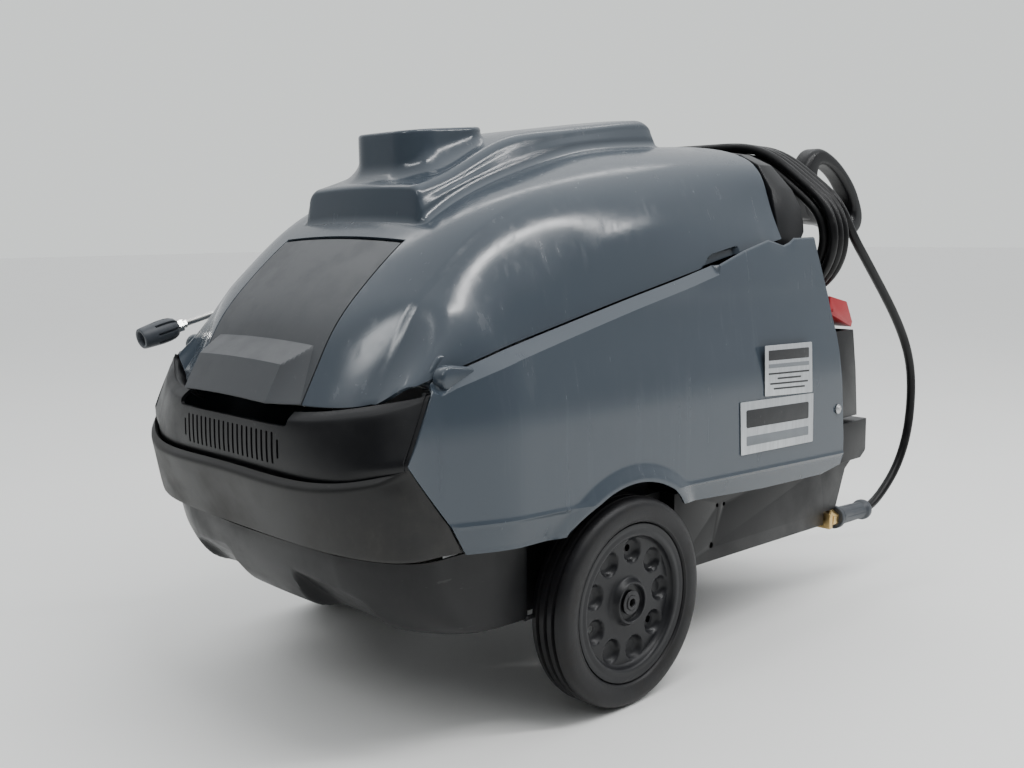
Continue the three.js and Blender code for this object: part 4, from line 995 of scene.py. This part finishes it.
def bumper_shelf(edge):
    """The rim on top of the bumper, turned inwards from its upper edge."""
    tangent = np.gradient(edge[:, :2], axis=0)
    inside = np.stack([-tangent[:, 1], tangent[:, 0]], 1)
    inside /= np.linalg.norm(inside, axis=1)[:, None]
    rows = []
    for inward, down in ((0.6, 1.2), (2.5, 0.2), (5, 0.6), (10, 4), (16, 9), (24, 12)):
        step = edge.copy()
        step[:, :2] += inside * inward
        step[:, 2] -= down
        rows.append(step)
    return np.array(rows)


def make_bumpers():
    grid = bumper_grid(UPPER_LEVELS, 60, 0.5)
    edge = grid[-1, 4:-4]
    right = resampled(edge[edge[:, 0] >= 133], 40)
    for side_name, sign in SIDES:
        skin(
            "bumper_shelf_" + side_name, bumper_shelf(right) * [sign, 1, 1], 3.0, BLACK, "chassis",
            ("bumper_upper",), "black_moulding", lip=0.8,
        )
    upper = skin(
        "bumper_upper_shell", grid, BUMPER_WALL, BLACK, "chassis", ("bumper_upper",),
        "black_moulding", lip=1.5, outward=(0, -1, 0),
    )
    notch = new_object("notch", rounded_box((-133, -450, 419), (133, -380, 470), 6, 3))
    slots = bmesh.new()
    for i in range(SLOT_COUNT):
        from_middle = i - (SLOT_COUNT - 1) / 2
        x = from_middle * SLOT_PITCH
        tall = 20 if abs(from_middle) < SLOT_COUNT / 2 - 1 else 12
        part = bpy.data.meshes.new("slot")
        box = rounded_box((x - 2.2, -440, 390 - tall), (x + 2.2, -407.2, 390 + tall), 1.4, 2)
        box.to_mesh(part)
        box.free()
        slots.from_mesh(part)
    cut_by(upper, [notch, new_object("slots", slots)])
    place(upper, BLACK, "chassis", (), None, 35)
    skin(
        "bumper_lower_shell", bumper_grid(LOWER_LEVELS, 60, 0.5), BUMPER_WALL, DUSTY, "chassis",
        ("bumper_lower",), "dusty_moulding", lip=1.5, outward=(0, -1, 0),
    )


make_bumpers()


# ---- side panels ---------------------------------------------------------------------------------------
def panel_column(y):
    """The points of the panel's face at y, from its lower edge to the ledge on top."""
    upper = np.interp(y, *zip(*PANEL_UPPER))
    lower = np.interp(y, *zip(*PANEL_LOWER))
    if abs(y) < ARCH_HALF:
        lower = AXLE_Z + math.sqrt(ARCH**2 - y**2)
    tall = upper - lower
    ledge = float(smoothstep(y, -322, -306) * (1 - smoothstep(y, STEP_Y, STEP_Y + 5)))
    high = min(3 + 10 * ledge, tall / 4)
    crease = min(max(crease_at(y), lower + min(3, tall / 20)), upper - high - tall / 5)
    low_part = crease + (lower - crease) * np.array([0.04, 0.08, 0.13, 0.2, 0.4, 0.6, 0.8, 0.9, 1.0])
    near = min(62.0, 0.4 * (upper - high - crease))
    above_crease = crease + near * np.r_[0, 0.025, 0.05, 0.08, np.linspace(0.12, 1, 24)]
    z = np.concatenate([low_part[::-1], above_crease, np.linspace(crease + near, upper - high, 17)[1:]])
    x = panel_out(y, z)
    ledge_x = float(np.interp(y, [p[1] for p in BELT], [p[0] for p in BELT])) + 2.5
    edge = x[-1] - 3 + (min(ledge_x, x[-1]) - x[-1] + 3) * ledge
    roll = np.array([0.04, 0.2, 0.5, 0.8, 0.97, 1.0])
    rise = np.array([0.10, 0.35, 0.7, 0.92, 1.0, 1.0]) * (1 - ledge) + roll * ledge
    top = np.stack([x[-1] + (edge - x[-1]) * roll, np.full(6, y), upper - high + high * rise], 1)
    return np.vstack([np.stack([x, np.full(len(z), y), z], 1), top])


def make_panels():
    corners = [p[0] for p in PANEL_UPPER + PANEL_LOWER] + [STEP_Y, STEP_Y + 2.5, STEP_Y + 5]
    ys = np.concatenate([corners, np.arange(-350, 560, 5.0), np.linspace(-210, 210, 169)])
    ys = np.unique(np.concatenate([ys, np.linspace(-324, -304, 9)]))
    ys = ys[np.r_[True, np.diff(ys) > 0.6]]
    grid = np.array([panel_column(y) for y in ys])
    for side_name, sign in SIDES:
        skin(
            "panel_skin_" + side_name, grid * [sign, 1, 1], 4.5, GLOSS, "chassis",
            ("side_panel_" + side_name,), "gloss_body", lip=1.2, outward=(sign, 0, 0), sharp=24,
        )


make_panels()

# ---- wheels --------------------------------------------------------------------------------------------
TYRE_WIDTH = 62.0
RIM_RADIUS = 111.5


def tyre_profile():
    """Half-round shoulders, three grooves round the tread and a rib on each sidewall."""
    r, w = AXLE_Z, TYRE_WIDTH
    tread = [(r - 7, -1.2), (r - 3.4, -4), (r - 1.2, -8), (r - 0.3, -12)]
    for groove in (-17.5, -31, -44.5):
        tread += [(r, groove + 3.2), (r - 4.5, groove + 2.2), (r - 4.5, groove - 2.2), (r, groove - 3.2)]
    tread += [(r - 0.3, -w + 12), (r - 1.2, -w + 8), (r - 3.4, -w + 4), (r - 7, -w + 1.2)]
    wall = [(RIM_RADIUS + 0.4, -5), (RIM_RADIUS + 1.2, -3), (RIM_RADIUS + 3, -1.6), (RIM_RADIUS + 5, -1.8)]
    wall += [(RIM_RADIUS + 7.5, -0.6), (RIM_RADIUS + 15, 0), (r - 12, 0)]
    back = [(radius, -w - along) for radius, along in wall[::-1]]
    return wall + tread + back + [(RIM_RADIUS - 4, -w / 2)]


def dimple_centre(k):
    """(y, z) of a dimple of the rim, from the axle."""
    angle = math.radians(82 + 40 * k)
    return 71 * math.cos(angle), 71 * math.sin(angle)


def rim_grid():
    """The rim as rings round the axle: its dished face with nine dimples, its barrel and its back."""
    sides = 216
    angles = np.arange(sides) * 2 * math.pi / sides
    face = [(10.5, -12), (18, -12), (24.4, -12.2), (25.4, -11), (26, -6.2), (27, -5.4), (29, -5.6)]
    face += [(30.5, -7.5), (32.5, -13.5), (35, -15.2)] + [(float(r), -15.5) for r in np.arange(37, 89, 1.7)]
    face += [(89, -14.6), (90.6, -13.2), (91.6, -9), (92.8, -6), (94.6, -4.8), (98, -4.4), (101, -5.4)]
    face += [(104, -5), (108, -4.2), (110, -4.6), (110.9, -6.5)]
    barrel = [(105.5, -31), (110.9, -56), (94, -56), (88, -24), (30, -24), (28, -58), (10.5, -58)]
    grid = []
    for i, (radius, along) in enumerate(face + barrel):
        x = np.full(sides, FACE + along)
        if i < len(face) and 50 < radius < 92:
            for k in range(9):
                y, z = dimple_centre(k)
                away = np.hypot(radius * np.cos(angles) - y, radius * np.sin(angles) - z) / 18.5
                x -= 9.5 * np.sqrt(np.clip(1 - away**2, 0, 1)) * smoothstep(1 - away, 0, 0.25)
        grid.append(np.stack([x, radius * np.cos(angles), AXLE_Z + radius * np.sin(angles)], 1))
    return np.array(grid)


def make_wheels():
    rim = rim_grid()
    for side_name, sign in SIDES:
        body = "wheel_" + side_name
        turned(
            "tyre_ring_" + side_name, tyre_profile(), (sign * FACE, 0, AXLE_Z), (sign, 0, 0), TYRE, body,
            ("tyre_" + side_name,), "tread", 128, capped=False,
        )
        disc = rings(
            "rim_disc_" + side_name, rim * [sign, 1, 1], DISC, body, ("rim_" + side_name,),
            "wheel_disc", False,
        )
        drills = bmesh.new()
        for k in (0, 3, 6):
            y, z = dimple_centre(k)
            at = Matrix.Translation(row_point(sign * 320, y - 1, AXLE_Z + z + 2))
            hole = at @ Matrix.Rotation(math.pi / 2, 4, "Y")
            bmesh.ops.create_cone(
                drills, cap_ends=True, segments=32, radius1=0.0052, radius2=0.0052, depth=0.05, matrix=hole
            )
        cut_by(disc, [new_object("drills", drills)])
        place(disc, DISC, body, (), None)


make_wheels()

# ---- outlet, coupling, lance ---------------------------------------------------------------------------
OUTLET_X, OUTLET_Z = 285.0, 137.0
LANCE_TIP, LANCE_ALONG = (-318, -372, 494), (0, 1, 0.2553)


def ribbed(count, depth, start, end):
    """A radius that dips in count grooves between two distances."""

    def shape(angles, along):
        if not start < along < end:
            return np.ones(len(angles))
        wave = np.cos(angles * count)
        return 1 - depth * smoothstep(wave, 0.55, 0.9)

    return shape


def make_fittings():
    coupling = [(11, 0), (19, 0), (20.4, 1.2), (20.4, 8), (19, 9.5), (16.6, 10.5), (16.4, 14), (17.2, 15)]
    coupling += [(17.2, 20), (16.2, 21.5), (15.8, 50), (15.2, 80), (14.8, 92), (15.4, 95), (18, 97.5)]
    coupling += [(18.6, 100), (18.6, 106), (17.6, 109.5), (15, 112), (11.5, 113), (9, 113)]
    turned(
        "coupling_sleeve", coupling, (OUTLET_X, 623, OUTLET_Z - 1), (0, 112, -5), GREY, "chassis",
        ("outlet_coupling",), "grey_plastic", 72, shape=ribbed(10, 0.09, 24, 90),
    )
    lance, start = np.array(LANCE_ALONG), np.array(LANCE_TIP, float)
    nozzle = [(9.5, 16), (10, 3), (11.5, 0.6), (14.5, 0), (15.8, 1), (16.4, 4), (17.8, 22), (18.4, 34)]
    nozzle += [(18.2, 44), (17, 52), (14.6, 57.5), (12, 60), (8, 60.6)]
    fine = []
    for (r0, a0), (r1, a1) in zip(nozzle[:-1], nozzle[1:]):
        steps = max(1, int(abs(a1 - a0) / 2.5))
        fine += [(r0 + (r1 - r0) * t / steps, a0 + (a1 - a0) * t / steps) for t in range(steps)]
    fine.append(nozzle[-1])
    turned(
        "nozzle_guard", fine, start, lance, GREY, "nozzle", ("lance_nozzle",), "grey_plastic", 96,
        shape=ribbed(8, 0.22, 22, 70),
    )
    unit = lance / np.linalg.norm(lance)
    collar = [(5.2, 0), (9, 0), (10.4, 1), (10.4, 9), (9, 10.5), (6.6, 11), (6.6, 16), (5.2, 17)]
    turned(
        "lance_nut", collar, start + unit * 61, lance, BRIGHT, "chassis", ("lance_tube",), "bright_steel", 6,
    )
    tube = [(4.6, 33), (5, 33.6), (5, 879.5), (4.6, 880)]
    turned("lance_pipe", tube, start, lance, BRIGHT, "chassis", ("lance_tube",), "bright_steel", 32)


make_fittings()

# ---- plates --------------------------------------------------------------------------------------------
PLATE_X = 339.0


def on_panel(corners, u, v):
    """A point of a four-cornered plate, u along its foot and v up."""
    a, b, c, d = (np.array(p, float) for p in corners)
    return (a * (1 - u) + b * u) * (1 - v) + (d * (1 - u) + c * u) * v


def flat_patch(name, corners, window, lift, look, nodes=(), corner=0.06, deep=0.9):
    """A thin plate with round corners over part of a four-cornered plate, window = (u0, u1, v0, v1)."""
    u0, u1, v0, v1 = window
    wide = np.linalg.norm(on_panel(corners, u1, v0) - on_panel(corners, u0, v0))
    tall = np.linalg.norm(on_panel(corners, u0, v1) - on_panel(corners, u0, v0))
    r = corner * min(wide, tall)
    line = []
    for cu, cv, start in ((1, 1, 0), (0, 1, 90), (0, 0, 180), (1, 0, 270)):
        for angle in np.radians(np.linspace(start, start + 90, 6)):
            u = (wide * cu + r * (1 - 2 * cu) + r * math.cos(angle)) / wide
            v = (tall * cv + r * (1 - 2 * cv) + r * math.sin(angle)) / tall
            line.append(tuple(on_panel(corners, u0 + (u1 - u0) * u, v0 + (v1 - v0) * v)))
    x0 = PLATE_X + lift
    return slab(name, line, x0, x0 + deep, look, "chassis", nodes, "plate_metal", min(0.3, deep / 3), 2)


SMALL_PLATE = [(312, 396), (449, 388), (443, 470), (309, 474)]
LARGE_PLATE = [(251, 313), (454, 306), (452, 386), (247, 394)]


def make_plates():
    whole = (0, 1, 0, 1)
    flat_patch("plate_small_sheet", SMALL_PLATE, whole, 0, PLATE, ("plate_small",), 0.03)
    flat_patch("plate_large_sheet", LARGE_PLATE, whole, 0, PLATE, ("plate_large",), 0.03)
    # Neutral printing: a plain block, a pale band and a few lines, none of it lettering.
    for name, plate, low, high, ink in (
        ("plate_large_block", LARGE_PLATE, 0.50, 0.84, PRINT),
        ("plate_large_band", LARGE_PLATE, 0.16, 0.34, PALE_PRINT),
        ("plate_small_block", SMALL_PLATE, 0.70, 0.90, PRINT),
        ("plate_small_band", SMALL_PLATE, 0.55, 0.63, PALE_PRINT),
    ):
        flat_patch(name, plate, (0.07, 0.93, low, high), 0.9, ink, (), 0.12, 0.12)
    for k, wide in enumerate((0.86, 0.50, 0.80, 0.66)):
        v = 0.42 - 0.10 * k
        name = "plate_small_line_" + str(k)
        window = (0.5 - wide / 2, 0.5 + wide / 2, v, v + 0.035)
        flat_patch(name, SMALL_PLATE, window, 0.9, PRINT, (), 0.3, 0.12)


make_plates()

# ---- hose hooks ----------------------------------------------------------------------------------------
HOOK_HEAD = [
    (636, 690), (644, 742), (660, 776), (684, 793), (714, 793), (772, 771), (824, 732), (850, 692),
    (859, 666), (850, 645), (826, 634), (780, 640), (730, 655), (690, 656), (655, 664),
]
HOOK_SLIT = [(688, 756), (712, 768), (766, 748), (812, 708), (826, 676), (806, 659), (750, 674), (694, 708)]
HOOK_ARM = [
    (497, 690), (522, 704), (548, 719), (600, 719.5), (660, 722), (700, 735), (706, 700), (690, 662),
    (640, 667), (600, 674), (556, 680), (526, 669), (497, 655),
]
HOOK_IN, HOOK_OUT = 162, 199


def closed_smooth(points):
    """A closed line of points with its corners cut until it is smooth."""
    p = np.array(points, float)
    for _ in range(3):
        after = np.roll(p, -1, axis=0)
        p = np.stack([p * 0.75 + after * 0.25, p * 0.25 + after * 0.75], 1).reshape(-1, 2)
    return p


def read_by_angle(line, centre, angles):
    """The line's points seen from centre at each angle."""
    offset = line - centre
    seen = np.unwrap(np.arctan2(offset[:, 1], offset[:, 0]))
    if seen[-1] < seen[0]:
        seen, offset = seen[::-1], offset[::-1]
    seen = np.r_[seen - 2 * math.pi, seen, seen + 2 * math.pi]
    offset = np.vstack([offset] * 3)
    return centre + np.stack([np.interp(angles, seen, offset[:, k]) for k in (0, 1)], 1)


def make_hooks():
    centre, count, edge = np.array([762.0, 712.0]), 96, 10.0
    angles = np.arange(count) * 2 * math.pi / count
    outer = read_by_angle(closed_smooth(HOOK_HEAD), centre, angles)
    inner = read_by_angle(closed_smooth(HOOK_SLIT), centre, angles)
    loops = []
    for near, far in zip(inner, outer):
        wide = np.linalg.norm(far - near)
        out = (far - near) / wide
        r = min(edge, wide * 0.45)
        low, high = HOOK_IN + r, HOOK_OUT - r
        profile = []
        for a0, x0, start in ((wide - r, high, 0), (r, high, 90), (r, low, 180), (wide - r, low, 270)):
            turn = np.radians(start + np.linspace(0, 90, 6))
            profile += [(a0 + r * math.cos(t), x0 + r * math.sin(t)) for t in turn]
        loops.append([(x, *(near + out * a)) for a, x in profile])
    loops = np.array(loops)
    arm = rounded_corners(np.array(HOOK_ARM + HOOK_ARM[:1], float), 2)[:-1]
    for side_name, sign in SIDES:
        names = ("hose_hook_" + side_name,)
        head = loops * [sign, 1, 1]
        rings("hook_head_" + side_name, head, BLACK, "chassis", names, "black_moulding", False)
        x0, x1 = sorted((sign * (HOOK_IN + 1), sign * (HOOK_OUT - 1)))
        slab("hook_arm_" + side_name, arm, x0, x1, BLACK, "chassis", names, "black_moulding", 7, 4)


make_hooks()

# ---- tub -----------------------------------------------------------------------------------------------
# Levels of the tub's front: height, set back from the front, half width at the front corners.
TUB_LEVELS = [
    (262, 2, 290), (250, 3, 290), (226, 9, 290), (206, 18, 290), (190, 27, 289), (176, 38, 288),
    (165, 50, 287), (157, 66, 284), (153, 90, 278), (152, 120, 268), (151.5, 160, 250),
]
TUB_HALF, TUB_JOIN = 290.0, -158.0
HOLLOW_X = 145.0  # middle of each hollow
HOLLOW_FLAT, HOLLOW_FOOT = 58.0, 88.0  # half widths of its roof and of its mouth
HOLLOW_RISE = 86.0


def tub_row(z, back, narrow, side_z):
    """The right half of the tub's front at one level, from its middle round to its side."""

    def bend(a, b, c, count):
        t = np.linspace(0, 1, count)[:, None]
        return np.array(a) * (1 - t) ** 2 + 2 * np.array(b) * t * (1 - t) + np.array(c) * t * t

    middle = bend((-180, -379 + back), (0, -396 + back), (180, -379 + back), 61)[30:]
    corner = bend((180, -379 + back), (TUB_HALF, -358 + back), (TUB_HALF, -300 + back), 40)[1:]
    straight = np.array([(TUB_HALF, max(-300 + back, TUB_JOIN - 40)), (TUB_HALF, TUB_JOIN)])
    line = resampled(np.vstack([middle, corner, straight]), 110)
    squeeze = smoothstep(-line[:, 1], 225, 330)
    line[:, 0] *= 1 + (narrow / TUB_HALF - 1) * squeeze
    height = side_z + (z - side_z) * np.maximum(squeeze, smoothstep(-line[:, 0], -284, -240))
    return np.column_stack([line, height])


def make_tub():
    top, foot = TUB_LEVELS[0][0], 150.0
    levels = rounded_corners(np.array(TUB_LEVELS, float), 2)
    grid = np.array([tub_row(z, back, narrow, max(z, foot)) for z, back, narrow in levels])
    away = np.abs(np.abs(grid[..., 0]) - HOLLOW_X)
    arch = 1 - smoothstep(away, HOLLOW_FLAT, HOLLOW_FOOT)
    roof = 146 + arch * np.clip(HOLLOW_RISE - 0.85 * (grid[..., 1] + 386), -10, 92)
    grid[..., 2] = np.maximum(grid[..., 2], np.minimum(roof, top - 20))
    grid = both_halves(grid)
    skin(
        "tub_front", grid, 4.0, TUB, "chassis", ("chassis_tub",), "black_moulding",
        lip=1.0, outward=(0, -1, 0), sharp=50,
    )
    rear = softened("tub_rear", "chassis_tub", TUB, "chassis", "black_moulding", 2.5, 3)
    cut_by(rear, [new_object("front", rounded_box((-400, -500, 100), (400, TUB_JOIN - 0.5, 300), 1, 1))])
    place(rear, TUB, "chassis", (), None, 40)


make_tub()

# ---- CAD nodes kept in shape, with rounded edges -------------------------------------------------------
SOFTENED = [
    ("bow_moulding", "handle_bow", BLACK, "chassis", "black_moulding", 3.5),
    ("console_moulding", "console", BLACK, "chassis", "black_moulding", 6.0),
    ("red_lever", "hood_release_lever", RED, "release_lever", "red_plastic", 2.5),
    ("main_switch_grip", "main_switch_knob", RED, "main_switch", "red_plastic", 1.5),
    ("temperature_grip", "temperature_knob", BLACK, "temperature_dial", "black_moulding", 1.5),
    ("dosing_grip", "dosing_knob", BLACK, "dosing_dial", "black_moulding", 1.5),
    ("gauge_case", "pressure_gauge", ZINC, "chassis", "bright_steel", 1.5),
    ("gun_moulding", "gun_body", BLACK, "chassis", "black_moulding", 2.0),
    ("gun_lever", "gun_trigger", RED, "trigger", "red_plastic", 2.0),
    ("gun_catch", "gun_safety_catch", GREY, "safety_catch", "grey_plastic", 1.0),
    ("holder_front", "lance_holder_front", BLACK, "chassis", "black_moulding", 1.2),
    ("holder_rear", "lance_holder_rear", BLACK, "chassis", "black_moulding", 1.2),
    ("brass_outlet", "outlet_block", BRASS, "chassis", "brass_fitting", 1.0),
    ("brass_inlet", "water_inlet", BRASS, "chassis", "brass_fitting", 1.0),
    ("gland_nut", "cable_gland", BLACK, "chassis", "black_moulding", 1.0),
    ("castor_top", "castor_plate", ZINC, "chassis", "zinc_steel", 1.0),
    ("castor_forks", "castor_fork", ZINC, "castor_swivel", "zinc_steel", 0.8),
    ("castor_tyre", "castor_wheel", TYRE, "castor_roller", "tread", 2.0),
    ("castor_pedal", "castor_brake_pedal", RED, "castor_brake", "red_plastic", 1.5),
    ("boiler_case", "boiler", SHEET, "chassis", "boiler_shell", 4.0),
    ("blower_case", "burner_blower", SHEET, "chassis", "boiler_shell", 3.0),
    ("blower_motor", "burner_motor", ZINC, "chassis", "zinc_steel", 3.0),
    ("pump_drive", "pump_motor", CAST, "chassis", "motor_casting", 4.0),
    ("pump_block", "pump_head", BRASS, "chassis", "brass_fitting", 2.5),
    ("fuel_tank_shell", "fuel_tank", TANK, "chassis", "tank_plastic", 8.0),
    ("water_tank_shell", "water_tank", TANK, "chassis", "tank_plastic", 8.0),
    ("detergent_tank_shell", "detergent_tank", TANK, "chassis", "tank_plastic", 6.0),
    ("fuel_cap_top", "fuel_cap", RED, "fuel_filler_cap", "red_plastic", 2.0),
    ("water_cap_top", "water_cap", BLACK, "water_filler_cap", "black_moulding", 2.0),
    ("switch_box", "electric_box", PLATE, "chassis", "plate_metal", 3.0),
    ("axle_rod", "axle", HUB_STEEL, "chassis", "zinc_steel", 0.8),
]
for side_name, _ in SIDES:
    SOFTENED += [
        (piece + side_name, node + side_name, look, "chassis", slot, edge)
        for piece, node, look, slot, edge in (
            ("buffer_", "rear_buffer_", BLACK, "black_moulding", 7.0),
            ("screw_", "panel_screw_", ZINC, "zinc_steel", 0.8),
            ("clamp_", "axle_clamp_", ZINC, "zinc_steel", 1.0),
            ("washer_", "axle_washer_", HUB_STEEL, "zinc_steel", 0.4),
        )
    ]
for piece_name, node_name, look_, body_name, slot_name, edge_width in SOFTENED:
    softened(piece_name, node_name, look_, body_name, slot_name, edge_width, 3 if edge_width >= 2 else 2)


# ---- stage ---------------------------------------------------------------------------------------------
def make_stage():
    floor = bpy.data.meshes.new("floor")
    size = 30
    corners = [(-size, -size, 0), (size, -size, 0), (size, size, 0), (-size, size, 0)]
    floor.from_pydata(corners, [], [(0, 1, 2, 3)])
    obj = bpy.data.objects.new("floor", floor)
    bpy.context.scene.collection.objects.link(obj)
    look = Look("pale_floor", (0.90, 0.90, 0.88), 0.40, specular=0.35)
    look.roughen(look.noise(1.5, 4, 0.6, None, 0.3, 0.7), 0.15)
    look.bump(look.noise(3, 3, 0.5), 0.002)
    floor.materials.append(look.material)
    make_world()


def make_world():
    """A pale room: bright above and behind the object, darker behind the camera."""
    world = bpy.data.worlds.new("studio")
    world.use_nodes = True
    nodes, links = world.node_tree.nodes, world.node_tree.links
    room = nodes["Background"]
    heading = nodes.new("ShaderNodeTexCoord")
    towards = nodes.new("ShaderNodeVectorMath")
    towards.operation = "DOT_PRODUCT"
    towards.inputs[1].default_value = (-0.55, 0.80, 0.25)
    links.new(heading.outputs["Generated"], towards.inputs[0])
    limits = ("From Min", "From Max", "To Min", "To Max")
    side = nodes.new("ShaderNodeMapRange")
    side.interpolation_type = "SMOOTHSTEP"
    for name, number in zip(limits, (-0.7, 0.95, 0.07, 0.85)):
        side.inputs[name].default_value = number
    links.new(towards.outputs["Value"], side.inputs["Value"])
    parts = nodes.new("ShaderNodeSeparateXYZ")
    links.new(heading.outputs["Generated"], parts.inputs[0])
    above = nodes.new("ShaderNodeMapRange")
    above.interpolation_type = "SMOOTHSTEP"
    for name, number in zip(limits, (0.25, 1.0, 0.0, 0.95)):
        above.inputs[name].default_value = number
    links.new(parts.outputs["Z"], above.inputs["Value"])
    both = nodes.new("ShaderNodeMath")
    links.new(side.outputs["Result"], both.inputs[0])
    links.new(above.outputs["Result"], both.inputs[1])
    room.inputs["Color"].default_value = (0.96, 0.985, 1.0, 1)
    links.new(both.outputs[0], room.inputs["Strength"])
    backdrop = nodes.new("ShaderNodeBackground")
    backdrop.inputs["Color"].default_value = (0.965, 1.0, 0.985, 1)
    backdrop.inputs["Strength"].default_value = 1.02
    path = nodes.new("ShaderNodeLightPath")
    choose = nodes.new("ShaderNodeMixShader")
    links.new(path.outputs["Is Camera Ray"], choose.inputs[0])
    links.new(room.outputs[0], choose.inputs[1])
    links.new(backdrop.outputs[0], choose.inputs[2])
    links.new(choose.outputs[0], nodes["World Output"].inputs["Surface"])
    bpy.context.scene.world = world


def area_light(name, at, along, size, power, color=(1, 1, 1), down=(0, 0, -1)):
    """A rectangle of light facing down, its long side along a direction."""
    data = bpy.data.lights.new(name, "AREA")
    data.shape = "RECTANGLE"
    data.size_y, data.size = size
    data.energy = power
    data.color = color
    back = -Vector(down).normalized()
    long_side = (Vector(along) - back * Vector(along).dot(back)).normalized()
    light = bpy.data.objects.new(name, data)
    turn = Matrix((long_side.cross(back), long_side, back)).transposed().to_4x4()
    light.matrix_world = Matrix.Translation(at) @ turn
    bpy.context.scene.collection.objects.link(light)


make_stage()
area_light("ceiling_strip", (2.15, 1.35, 2.7), (0.55, 0.83, 0), (5.4, 0.17), 95)
area_light("ceiling_strip_far", (-1.5, 0.6, 2.9), (0.55, 0.83, 0), (4.0, 0.30), 16)
area_light("window", (0.05, -2.7, 2.7), (0.1, 1, 0), (1.5, 0.22), 15, (0.97, 0.99, 1), (0, 0.35, -1))
